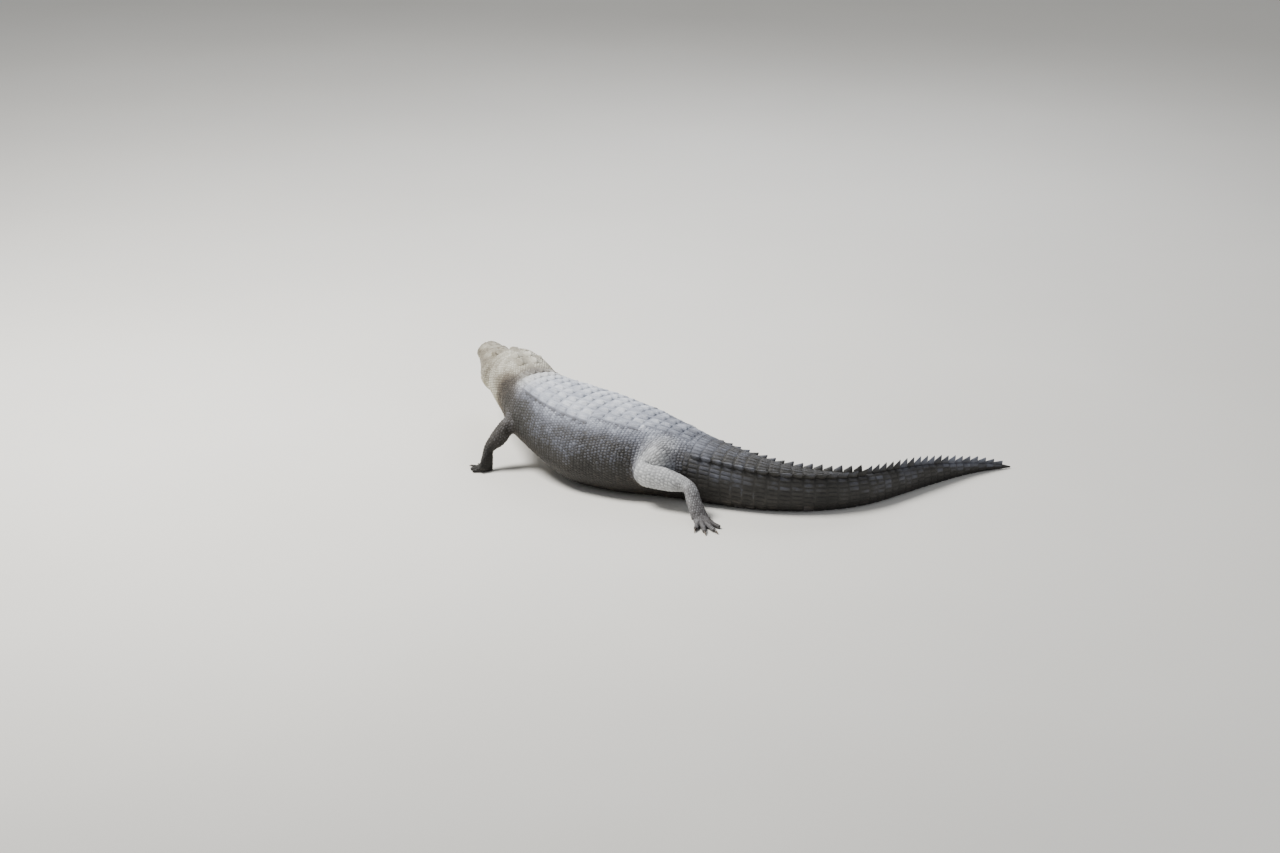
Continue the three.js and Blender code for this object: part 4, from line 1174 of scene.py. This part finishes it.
def tail_places():
    """Whorls of the tail: one ring of scales to each crest blade."""
    rows = []
    first_ring = (TORSO_END - 5, 1, CREST_FROM - TORSO_END + 5, True)
    for start, count, length, paired in CREST_ROWS + [first_ring]:
        for k in range(count):
            at = start + (k + 0.5) * length
            crest = float(crest_spread(at)) if paired else 0.0
            foot = 0.75 * blade_thickness(at) / max(float(BODY_SURFACE.mm_per_degree(at, 90 - crest)), 0.1)
            for first, last, wanted in [(0, crest - foot, 15), (crest + foot, 178, 17)]:
                if last - first < 6:
                    continue
                degrees = np.linspace(first, last, 60)
                arc = run_of(BODY_SURFACE.at(at, 90 - degrees))
                across = max(int(round(arc[-1] / wanted)), 2)
                spots = (np.arange(across) + 0.5) * arc[-1] / across
                for angle in np.interp(spots, arc, degrees):
                    rows.append((at, angle, length * 0.493, 0.488 * arc[-1] / across, 1.5))
    return both_sides(rows)


def blade_thickness(at):
    """Half thickness of a crest blade at its foot: broad keels at the hip that draw in to thin blades."""
    return float(np.minimum(crest_foot(at), half(at) * 0.45))


def blade_places():
    """The blades of the two crests and of the single one behind them."""
    chance = np.random.default_rng(43)
    rows = []
    for start, count, length, paired in CREST_ROWS:
        for k in range(count):
            at = start + (k + 0.5) * length
            angles = (90 - crest_spread(at), 90 + crest_spread(at)) if paired else (90,)
            for angle in angles:
                high = float(crest_height(at)) * (1 + 0.16 * (chance.random() - 0.5)) + SKIN_DEPTH
                rows.append((at, angle, length * 0.54, blade_thickness(at), high))
    return np.array(rows, float)


def lip_places():
    """Broad plates along both lips, in two rows on each jaw, and the flaps over the ear slits."""
    chance = np.random.default_rng(46)
    rows = [EAR_FLAP]
    for at in np.arange(24, 304, 15.2):
        size = chance.uniform(0.78, 1.14, 4)
        tall = chance.uniform(0.82, 1.08, 4)
        shift = chance.uniform(-1.8, 1.8, 4)
        rows.append((at + shift[0], 90 - 7.4, 8.0 * size[0], 6.2 * tall[0], 1.1))
        rows.append((at + 7.5 + shift[1], 90 - 18.5, 7.8 * size[1], 5.6 * tall[1], 0.6))
        if at > 36:
            rows.append((at + shift[2], 90 + 9.5, 7.9 * size[2], 6.0 * tall[2], 1.1))
            rows.append((at + 7.5 + shift[3], 90 + 21, 7.6 * size[3], 5.6 * tall[3], 0.7))
    return both_sides(rows)


def head_places():
    """Small scales over the jowls up to the nape, and under the jaw."""
    chance = np.random.default_rng(47)

    def upper_edge(at):
        return np.interp(at, [JOWL_FROM, 330, HEAD_LENGTH], [78, 44, 4])

    jowl, under_jaw = (4.8, 4.5, 1.4), (5.4, 4.8, 0.9)
    ends = (JOWL_FROM, HEAD_LENGTH)
    rows = rows_over(BODY_SURFACE, *ends, upper_edge, 112, jowl, chance, crowd=0.92, big=0.3)
    rows = [row for row in rows if row[1] > upper_edge(row[0]) + 10 or chance.random() < 0.6]
    rows += rows_over(BODY_SURFACE, 60, THROAT_FROM, 117, 178, under_jaw, chance, crowd=0.96, jitter=0.05)
    return both_sides(rows)


def leg_batches(leg):
    """Scales round a limb, over its sole and over its digits."""
    chance = np.random.default_rng(53)
    limb = leg["limb"]
    end = limb.along[-1]
    upper = (5.6, 5.2, 1.7) if leg["fore"] else (7.0, 6.4, 1.7)
    rows = rows_over(limb, 20, end * 0.62, 0, 354, upper, chance, crowd=0.92, mirrored=False)
    lower = (4.6, 4.4, 1.3) if leg["fore"] else (5.4, 5.0, 1.3)
    rows += rows_over(limb, end * 0.62, end - 6, 0, 354, lower, chance, crowd=0.93, mirrored=False)
    batches = [(limb, np.array(rows, float))]
    sole, small = leg["sole"], (4.0, 3.9, 1.0)
    sole_chance = np.random.default_rng(54)
    rows = rows_over(sole, 2, sole.along[-1] + 4, 190, 350, small, sole_chance, crowd=0.94, mirrored=False)
    batches.append((sole, np.array(rows, float)))
    for digit in leg["digits"]:
        tube = digit["tube"]
        along = np.arange(10, tube.along[-1] - 3, 6.2)
        rows = [(at, 360 - angle, 3.0, 3.2, 1.0) for at in along for angle in (52, 90, 128, 14, 166)]
        batches.append((tube, np.array(rows, float)))
    return batches


# Materials


def linear(hex_colour):
    """An sRGB hex colour as linear values with alpha."""
    parts = [int(hex_colour[k : k + 2], 16) / 255 for k in (1, 3, 5)]
    return [p / 12.92 if p <= 0.04045 else ((p + 0.055) / 1.055) ** 2.4 for p in parts] + [1.0]


def per_metre(size):
    """The scale that gives a pattern cells of a size in mm."""
    return 1000 / size


def fresh_material(name):
    made = bpy.data.materials.new(name)
    made.use_nodes = True
    return made, made.node_tree, made.node_tree.nodes["Principled BSDF"]


def place_and_relief(tree):
    """What most patterns follow: the place in the scene, and how worn that place is from 0 to 1."""
    place = node(tree, "ShaderNodeTexCoord").outputs["Object"]
    relief = node(tree, "ShaderNodeAttribute", {"attribute_name": "relief"}).outputs["Fac"]
    return place, relief


# Colours from the darkest tone to the palest, where the hide is cool and where it is warm
HIDE_TONES = ("#100e0a", "#2c2a27", "#4d4f58", "#777b87", "#a1a6b2", "#c8ccd4")
WARM_TONES = ("#15100a", "#332a20", "#5c5241", "#8b8470", "#b3ae9c", "#d3cfc0")
# Patterns of the hide: size in mm, detail, roughness and how much they add to the tone
HIDE_MOTTLE = (111, 5.0, 0.6, 0.6)  # broad clouds of damp and of dust
HIDE_BLOTCH = (29.4, 4.0, 0.6, 0.3)  # stains over a few scales
HIDE_GRAIN = (6.25, 6.0, 0.65, 0.16)  # dust and worn horn on each scale, coarse enough to show
# On the skull the relief share also carries the painted shade in its cracks.
LUCK_SHARE, RELIEF_SHARE = 0.18, 0.2  # of each scale's own tone, and of its worn keel
TONE_SHIFT = -0.76  # brings the sum of all shares back to the marking's tone
FINE_CREASE = 4.76  # mm between the fine creases of the hide
PIT = 6.67  # mm between the pits of the skull's skin
CLAW_STREAK, TOOTH_STREAK = 2.38, 2.0  # mm, coarse enough to show
FLOOR_CLOUD = 1667  # mm
WEIGHED = {"operation": "MULTIPLY_ADD"}


def keratin_hide():
    """Dry alligator hide: keratin scales over bony plates, with dust and pale worn keels, and painted shade
    in the skull's cracks and pits.
    """
    made, tree, shader = fresh_material("keratin_hide")
    place, relief = place_and_relief(tree)
    # The tone that this attribute holds has painted light and shade of the body and legs in it, besides the
    # hide's own tone.
    tone_and_shade = node(tree, "ShaderNodeAttribute", {"attribute_name": "tone_and_shade"}).outputs["Vector"]
    base_tone, warmth, luck = node(tree, "ShaderNodeSeparateXYZ", Vector=tone_and_shade).outputs
    bone = node(tree, "ShaderNodeAttribute", {"attribute_name": "bone"}).outputs["Fac"]
    layers = [(luck, LUCK_SHARE), (relief, RELIEF_SHARE)]
    for size, detail, rough, share in (HIDE_MOTTLE, HIDE_BLOTCH, HIDE_GRAIN):
        look = {"Scale": per_metre(size), "Detail": detail, "Roughness": rough}
        grain = node(tree, "ShaderNodeTexNoise", Vector=place, **look).outputs["Fac"]
        layers.append((grain, share))
    cells = node(tree, "ShaderNodeTexVoronoi", Vector=place, Scale=per_metre(PIT)).outputs["Distance"]
    # Darker at the middle of each pit of the skull's skin: painted shade in the pits.
    pit_shade = node(tree, "ShaderNodeMapRange", Value=cells, i1=0.12, i2=0.24, i3=-0.2, i4=0.0).outputs[0]
    tone = node(tree, "ShaderNodeMath", {"operation": "ADD"}, i0=base_tone, i1=TONE_SHIFT).outputs[0]
    for layer, share in layers:
        tone = node(tree, "ShaderNodeMath", WEIGHED, i0=layer, i1=share, i2=tone).outputs[0]
    tone = node(tree, "ShaderNodeMath", WEIGHED, i0=pit_shade, i1=bone, i2=tone).outputs[0]
    cool, warm = (
        node(tree, "ShaderNodeValToRGB", stops=[(k / 5, tones[k]) for k in range(6)], Fac=tone).outputs[0]
        for tones in (HIDE_TONES, WARM_TONES)
    )
    mixed = node(tree, "ShaderNodeMix", {"data_type": "RGBA"}, Factor=warmth, i6=cool, i7=warm).outputs[2]
    tree.links.new(mixed, shader.inputs["Base Color"])
    rough = node(tree, "ShaderNodeMath", WEIGHED, i0=grain, i1=0.3, i2=0.42).outputs[0]
    tree.links.new(rough, shader.inputs["Roughness"])
    to_edge = {"feature": "DISTANCE_TO_EDGE"}
    net = node(tree, "ShaderNodeTexVoronoi", to_edge, Vector=place, Scale=per_metre(FINE_CREASE))
    creases = node(tree, "ShaderNodeMapRange", Value=net.outputs["Distance"], i1=0.0, i2=0.14).outputs[0]
    pits = node(tree, "ShaderNodeMapRange", Value=cells, i1=0.08, i2=0.34).outputs[0]
    surface = node(tree, "ShaderNodeMix", Factor=bone, i2=creases, i3=pits).outputs[0]
    height = node(tree, "ShaderNodeMath", WEIGHED, i0=grain, i1=1.6, i2=surface).outputs[0]
    bump = node(tree, "ShaderNodeBump", Height=height, Distance=0.7 * MM, Strength=0.6).outputs[0]
    tree.links.new(bump, shader.inputs["Normal"])
    return made


def claw_horn():
    """Claw horn: near black at the root and browner and more polished at the worn tip."""
    made, tree, shader = fresh_material("claw_horn")
    place, relief = place_and_relief(tree)
    look = {"Scale": per_metre(CLAW_STREAK), "Detail": 4.0}
    streaks = node(tree, "ShaderNodeTexNoise", Vector=place, **look).outputs["Fac"]
    shade = node(tree, "ShaderNodeMath", WEIGHED, i0=streaks, i1=0.35, i2=relief).outputs[0]
    stops = [(0.1, "#15120f"), (0.6, "#2e2620"), (1.2, "#5b4c3b")]
    colour = node(tree, "ShaderNodeValToRGB", stops=stops, Fac=shade).outputs[0]
    tree.links.new(colour, shader.inputs["Base Color"])
    shader.inputs["Roughness"].default_value = 0.32
    bump = node(tree, "ShaderNodeBump", Height=streaks, Distance=0.4 * MM, Strength=0.4).outputs[0]
    tree.links.new(bump, shader.inputs["Normal"])
    return made


def tooth_enamel():
    """Tooth enamel: ivory, stained at the gum."""
    made, tree, shader = fresh_material("tooth_enamel")
    place, relief = place_and_relief(tree)
    look = {"Scale": per_metre(TOOTH_STREAK), "Detail": 4.0}
    cracks = node(tree, "ShaderNodeTexNoise", Vector=place, **look).outputs["Fac"]
    shade = node(tree, "ShaderNodeMath", WEIGHED, i0=cracks, i1=0.4, i2=relief).outputs[0]
    stops = [(0.1, "#8a7a58"), (0.5, "#cbbf9c"), (1.0, "#e8e1cb")]
    colour = node(tree, "ShaderNodeValToRGB", stops=stops, Fac=shade).outputs[0]
    tree.links.new(colour, shader.inputs["Base Color"])
    shader.inputs["Roughness"].default_value = 0.3
    return made


def wet_eye():
    """Eyeball: bronze iris with a dark rim and an upright slit, under a wet clear surface."""
    made, tree, shader = fresh_material("wet_eye")
    gaze = node(tree, "ShaderNodeAttribute", {"attribute_name": "gaze"}).outputs["Vector"]
    across, upward, _ = node(tree, "ShaderNodeSeparateXYZ", Vector=gaze).outputs
    radius = node(tree, "ShaderNodeVectorMath", {"operation": "LENGTH"}, i0=gaze).outputs["Value"]
    # the gaze runs from 0 to 1 over the iris, so nine streaks lie between its middle and its rim
    streaks = node(tree, "ShaderNodeTexNoise", Vector=gaze, Scale=9.0, Detail=6.0).outputs["Fac"]
    spread = node(tree, "ShaderNodeMath", WEIGHED, i0=streaks, i1=0.22, i2=radius).outputs[0]
    bronze = [(0.12, "#c9b06a"), (0.4, "#a08a46"), (0.62, "#6d5a2a"), (0.78, "#231d12"), (0.9, "#4b443a")]
    iris = node(tree, "ShaderNodeValToRGB", stops=bronze, Fac=spread).outputs[0]
    narrow = node(tree, "ShaderNodeMath", {"operation": "MULTIPLY"}, i0=across, i1=6.5).outputs[0]
    slit = node(tree, "ShaderNodeCombineXYZ", X=narrow, Y=upward).outputs[0]
    reach = node(tree, "ShaderNodeVectorMath", {"operation": "LENGTH"}, i0=slit).outputs["Value"]
    open_share = node(tree, "ShaderNodeMapRange", Value=reach, i1=0.5, i2=0.56).outputs[0]
    looks = {"Factor": open_share, "i6": linear("#060504"), "i7": iris}
    colour = node(tree, "ShaderNodeMix", {"data_type": "RGBA"}, **looks).outputs[2]
    tree.links.new(colour, shader.inputs["Base Color"])
    shader.inputs["Roughness"].default_value = 0.18
    shader.inputs["Coat Weight"].default_value = 1.0
    shader.inputs["Coat Roughness"].default_value = 0.03
    return made


def plain_floor():
    """Painted studio floor: matt and pale, with a trace of unevenness."""
    made, tree, shader = fresh_material("plain_floor")
    place = node(tree, "ShaderNodeTexCoord").outputs["Object"]
    look = {"Scale": per_metre(FLOOR_CLOUD), "Detail": 3.0}
    cloud = node(tree, "ShaderNodeTexNoise", Vector=place, **look).outputs["Fac"]
    stops = [(0.3, "#dedcd6"), (0.7, "#e4e2dc")]
    colour = node(tree, "ShaderNodeValToRGB", stops=stops, Fac=cloud).outputs[0]
    tree.links.new(colour, shader.inputs["Base Color"])
    shader.inputs["Roughness"].default_value = 0.9
    return made


# Eyes, lids, teeth and claws


def set_piece(made, material, slot, *nodes):
    """Gives a finished piece its material, its body and the nodes that it stands for. The slot is not used.
    """
    made.data.materials.clear()
    made.data.materials.append(material)
    made.data.shade_smooth()
    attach(made, "root")
    if nodes:
        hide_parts(*nodes)
    return made


def make_eye(name, side, material):
    """An eyeball with a slight bulge of the cornea, whose attribute holds places round the line of sight."""
    gaze, along, up = gaze_frame(side)
    turns = np.radians(np.arange(0, 360, 360 / 48))
    rings = np.radians(np.linspace(3, 177, 30))
    polar, turn = np.meshgrid(rings, turns, indexing="ij")
    flat = [np.sin(polar) * np.cos(turn), np.sin(polar) * np.sin(turn), np.cos(polar)]
    ways = flat[0][..., None] * along + flat[1][..., None] * up + flat[2][..., None] * gaze
    radius = EYE_RADIUS + 0.9 * bell(polar / math.radians(38))
    made = loft_object(name, from_head(eye_centre(side) + ways * radius[..., None]))
    size = polar / math.radians(IRIS_EDGE)
    spots = np.stack([size * np.cos(turn), size * np.sin(turn), np.zeros(size.shape)], -1).reshape(-1, 3)
    spots = np.vstack([spots, [[0, 0, 0], [3, 0, 0]]])
    write_attribute(made.data, "gaze", "FLOAT_VECTOR", spots)
    return set_piece(made, material, "eye", name.replace("eyeball", "eye"))


def make_lids(name, side, material, coat):
    """Both lids as one ring: a thick edge on the eye, folds, and a foot that sinks into the skin."""
    gaze, along, up = gaze_frame(side)
    turns = np.radians(np.arange(0, 360, 360 / 96))
    centre = eye_centre(side)
    start = Vector(from_head(centre))
    over = smooth(np.sin(turns), 0.1, 0.8)

    def ways(beyond):
        """Directions on an oval that lies a number of degrees outside the opening."""
        tall = EYE_OPENING[1] * np.where(np.sin(turns) > 0, 1, LOWER_LID) + beyond
        level = np.tan(np.radians(np.cos(turns) * (EYE_OPENING[0] + 0.75 * beyond)))
        height = np.tan(np.radians(np.sin(turns) * tall))
        return unit(gaze + level[:, None] * along + height[:, None] * up)

    def on_skin(beyond, rise):
        """Points over the skin, evened out round the ring, and less so towards its foot."""
        spots, normals = [], []
        for way in ways(beyond):
            ahead = Vector(from_head(centre + way)) - start
            _, normal, _, distance = coat.skin.ray_cast(start, ahead)
            spots.append(start + ahead * min(distance, LID_REACH))
            normals.append(normal * (1 if normal.dot(ahead) > 0 else -1))
        both = np.hstack([np.array(spots), np.array(normals)])
        for _ in range(14 if beyond < 23 else 3):
            both = (np.roll(both, 1, 0) + 2 * both + np.roll(both, -1, 0)) / 4
        return both[:, :3] + unit(both[:, 3:]) * rise[:, None]

    rings, relief = [], []
    for beyond, rise, tone in LID_PROFILE:
        lift = rise + 2.0 * over * bell((beyond - 14) / 6)
        mix = smooth(beyond, 2, 20)
        near = from_head(centre + ways(beyond) * (EYE_RADIUS + lift)[:, None])
        far = on_skin(max(beyond, 20), lift)
        rings.append(near * (1 - mix) + far * mix)
        relief.append(np.full(len(turns), tone))
    grid = np.array(rings + rings[:1])
    rows, columns = grid.shape[:2]
    faces = closed_faces(rows, columns)[: (rows - 1) * columns]
    wrapped = [[k % ((rows - 1) * columns) for k in face] for face in faces]
    points = grid[:-1].reshape(-1, 3)
    made = outward_normals(mesh_object(name, points, wrapped))
    seats = [coat.skin.find_nearest(Vector(point))[2] for point in points]
    marks = coat.marks[[coat.faces[seat][0] for seat in seats]]
    luck = np.full(len(points), MIDDLE_LUCK)
    write_attribute(made.data, "tone_and_shade", "FLOAT_VECTOR", np.column_stack([marks, luck]))
    write_attribute(made.data, "relief", "FLOAT", np.concatenate(relief))
    return set_piece(made, material, "hide_pale")


def cone_grid(base, tip, bend, wide, deep, side, rows=9, columns=12, power=0.8):
    """A bent cone from a base to a tip: rings along a bow, oval in section."""
    shares = np.linspace(0, 1, rows)[:, None, None]
    turns = np.radians(np.arange(0, 360, 360 / columns))[None, :, None]
    axis = unit(tip - base)
    up = np.cross(axis, side)
    centre = base + (tip - base) * shares + bend * 4 * shares * (1 - shares)
    taper = np.maximum(1 - shares, 0) ** power * 0.97 + 0.03
    return centre + side * wide * taper * np.cos(turns) + up * deep * taper * np.sin(turns)


def joined_lofts(name, grids):
    """Several closed lofts in one mesh, and how far along each point is."""
    points, faces, shares = [], [], []
    for grid in grids:
        rows, columns = grid.shape[:2]
        start = sum(len(p) for p in points)
        points.append(np.vstack([grid.reshape(-1, 3), grid[0].mean(0), grid[-1].mean(0)]))
        faces += [[k + start for k in face] for face in closed_faces(rows, columns)]
        shares.append(np.append(np.repeat(np.linspace(0, 1, rows), columns), [0, 1]))
    made = outward_normals(mesh_object(name, np.vstack(points), faces))
    write_attribute(made.data, "relief", "FLOAT", np.concatenate(shares))
    return made


def make_teeth(material):
    """The upper teeth that show outside the lower jaw."""
    chance = np.random.default_rng(61)
    grids = []
    for side in (-1, 1):
        for at in np.linspace(*TOOTH_ROW):
            length = float(tooth_length(at)) * (1 + 0.3 * (chance.random() - 0.5))
            out = side * (float(lip_half(at)) - TOOTH_OUTSIDE)
            level = float(mouth_line(at))
            spots = [(0, 0, 0), (0, 0, 4), (1, 0, -length), (0, side, 0), (-1, 0, 0)]
            middle, base, tip, outside, before = from_head(np.array(spots) + (at, out, level))
            bow, ahead = outside - middle, before - middle
            grids.append(cone_grid(base, tip, bow * 0.8, length * 0.2 + 1.6, 3.2, ahead))
    return set_piece(joined_lofts("teeth", grids), material, "claw")


def make_claws(leg, material):
    """The claws of one foot, set over the ends of the three inner digits and hooked to the floor."""
    grids, nodes = [], []
    for k, digit in enumerate(leg["digits"]):
        if not digit["claw"]:
            continue
        thick, ahead = digit["thick"], digit["ahead"]
        base = digit["tip"] + ahead * (thick * 0.1)
        tip = digit["tip"] + ahead * (thick * 0.5 + digit["claw"])
        tip[2] = 1.2
        side = np.array([-ahead[1], ahead[0], 0])
        arch = np.array([0, 0, thick * 0.34])
        size = (thick * 0.5, thick * 0.62)
        grids.append(cone_grid(base, tip, arch, *size, side, rows=12, columns=16, power=0.7))
        nodes.append(f"{leg['name']}_claw_{k + 1}")
    return set_piece(joined_lofts(f"{leg['name']}_claws", grids), material, "claw", *nodes)


# Stage, light and camera

PHOTO_SIZE = (1280, 853)
AIM = Vector((0, 0, 0.15))
AIM_IN_PHOTO = (602, 437)  # pixel of the photo where the aim shows
ELEVATION = 20
CAMERA_DISTANCE = 14.0
PIXELS_PER_METRE = 265  # at the aim
FLOOR_REACH = 40  # m from the middle to each edge
FLOOR_DROP = 0.4  # mm
# Lamps: place and width in m, power and colour
LAMPS = {
    "key": ((-2.8, 0.5, 4.8), 2.2, 620, "#fffdf9"),
    "fill": ((4.2, -4.0, 2.6), 3.5, 40, "#eef3ff"),
    "behind": ((1.0, 4.5, 3.6), 3.0, 120, "#f4f7ff"),
}


def make_camera():
    """A camera that shows the animal where the photo shows it."""
    lift = math.radians(ELEVATION)
    backward = Vector((0, -math.cos(lift), math.sin(lift)))
    up = Vector((0, math.sin(lift), math.cos(lift)))
    right = Vector((1, 0, 0))
    aside = (PHOTO_SIZE[0] / 2 - AIM_IN_PHOTO[0]) / PIXELS_PER_METRE
    above = (AIM_IN_PHOTO[1] - PHOTO_SIZE[1] / 2) / PIXELS_PER_METRE
    camera = bpy.data.objects.new("camera", bpy.data.cameras.new("camera"))
    camera.data.sensor_width = 36
    camera.data.lens = PIXELS_PER_METRE * CAMERA_DISTANCE / PHOTO_SIZE[0] * camera.data.sensor_width
    camera.data.clip_end = 200
    camera.location = AIM + backward * CAMERA_DISTANCE
    target = AIM + right * aside + up * above
    camera.rotation_mode = "QUATERNION"
    camera.rotation_quaternion = (target - camera.location).to_track_quat("-Z", "Y")
    bpy.context.scene.collection.objects.link(camera)
    bpy.context.scene.camera = camera


def softbox(name, place, size, power, colour):
    """A round soft lamp, turned to the aim."""
    lamp = bpy.data.lights.new(name, "AREA")
    lamp.shape = "DISK"
    lamp.size = size
    lamp.energy = power
    lamp.color = linear(colour)[:3]
    made = bpy.data.objects.new(name, lamp)
    made.location = place
    made.rotation_mode = "QUATERNION"
    made.rotation_quaternion = (AIM - Vector(place)).to_track_quat("-Z", "Y")
    bpy.context.scene.collection.objects.link(made)


def make_stage():
    """Floor, even sky and three soft lamps."""
    corners = np.array([(-1, -1, 0), (1, -1, 0), (1, 1, 0), (-1, 1, 0)]) * FLOOR_REACH / MM
    floor = mesh_object("floor", corners - np.array([0, 0, FLOOR_DROP]), [(0, 1, 2, 3)])
    floor.data.materials.append(plain_floor())
    world = bpy.context.scene.world or bpy.data.worlds.new("world")
    bpy.context.scene.world = world
    world.use_nodes = True
    sky = world.node_tree.nodes["Background"].inputs
    sky["Color"].default_value = linear("#e9ebee")
    sky["Strength"].default_value = 0.4
    for name, lamp in LAMPS.items():
        softbox(name, *lamp)


# The whole animal

BODY_SURFACE, body_marks = make_body_surface()
legs = [make_leg(name) for name in LEGS]
skin, skin_points, skin_marks = make_skin(BODY_SURFACE, body_marks, legs)
hide = keratin_hide()
FLESH = ["head", "lower_jaw", "neck", "torso"]
FLESH += [f"tail_{part}" for part in ("base", "front", "middle", "rear", "end")]
for limb, parts in (("foreleg", ("upper_arm", "forearm", "hand")), ("hindleg", ("thigh", "shank", "foot"))):
    FLESH += [f"{limb}_{side}_{part}" for side in ("left", "right") for part in parts]
plain_luck = np.full(len(skin_marks), MIDDLE_LUCK)
write_attribute(skin.data, "tone_and_shade", "FLOAT_VECTOR", np.column_stack([skin_marks[:, :2], plain_luck]))
write_attribute(skin.data, "relief", "FLOAT", skin_marks[:, 2])
write_attribute(skin.data, "bone", "FLOAT", skin_marks[:, 3])
set_piece(skin, hide, "hide_grey", *FLESH)

skin_faces = [tuple(polygon.vertices) for polygon in skin.data.polygons]
coat = Coat(skin_points, skin_faces, skin_marks[:, :2])
dorsal = scale_template("dorsal_scute", 12, 12, 0.35, 2.8, 8.2, peak=0.45, sink=3.0)
nuchal = scale_template("nuchal_scute", 14, 14, 0.7, 3.5, 10.5, peak=0.3, sink=4.0)
ring_scale = scale_template("ring_scale", 8, 6, 0.16, 1.0, 0.55, peak=0.5, sink=0.6, worn=0.65)
belly_plate = scale_template("belly_plate", 4, 4, 0.2, 1.0, 0.0, sink=1.0)
round_scale = scale_template("round_scale", 4, 4, 0.6, 0.75, 0.4, sink=0.6)
lip_plate = scale_template("lip_plate", 8, 6, 0.85, 0.8, 0.0, sink=1.2, worn=0.3)
blade = blade_template("blade")

# Each coat of the body: name, places, template and slot, how much size and turn vary, and what is special
BODY_COATS = [
    ("dorsal_shield", shield_places, dorsal, "hide_grey", 0.03, 0.02, {}),
    ("nuchal_scutes", nuchal_places, nuchal, "hide_pale", 0.03, 0.08, {}),
    ("crest_blades", blade_places, blade, "hide_dark", 0.0, 0.0, {"reach": 30, "sharp": 50}),
    ("tail_scales", tail_places, ring_scale, "hide_dark", 0.02, 0.02, {"luck": 0.75}),
    ("flank_scales", flank_places, round_scale, "hide_grey", 0.16, 0.35, {"luck": 0.75}),
    ("belly_plates", belly_places, belly_plate, "hide_grey", 0.03, 0.02, {}),
    ("neck_scales", neck_places, round_scale, "hide_pale", 0.14, 0.35, {}),
    ("head_scales", head_places, round_scale, "hide_pale", 0.14, 0.3, {}),
    ("lip_plates", lip_places, lip_plate, "hide_pale", 0.06, 0.05, {"luck": 0.35}),
]
for seed, (name, places, template, slot, vary, turn, special) in enumerate(BODY_COATS, 2):
    coat.grow(name, [(BODY_SURFACE, places())], template, hide, slot, vary, turn, seed, **special)
for seed, leg in enumerate(legs, 20):
    slot = "hide_foot" if leg["fore"] else "hide_grey"
    coat.grow(f"{leg['name']}_scales", leg_batches(leg), round_scale, hide, slot, 0.16, 0.35, seed)
for template in (dorsal, nuchal, ring_scale, belly_plate, round_scale, lip_plate, blade):
    bpy.data.objects.remove(template)

horn = claw_horn()
glossy = wet_eye()
for name, side in (("eyeball_left", 1), ("eyeball_right", -1)):
    make_eye(name, side, glossy)
    make_lids(name.replace("eyeball", "lids"), side, hide, coat)
make_teeth(tooth_enamel())
for leg in legs:
    make_claws(leg, horn)

make_camera()
make_stage()
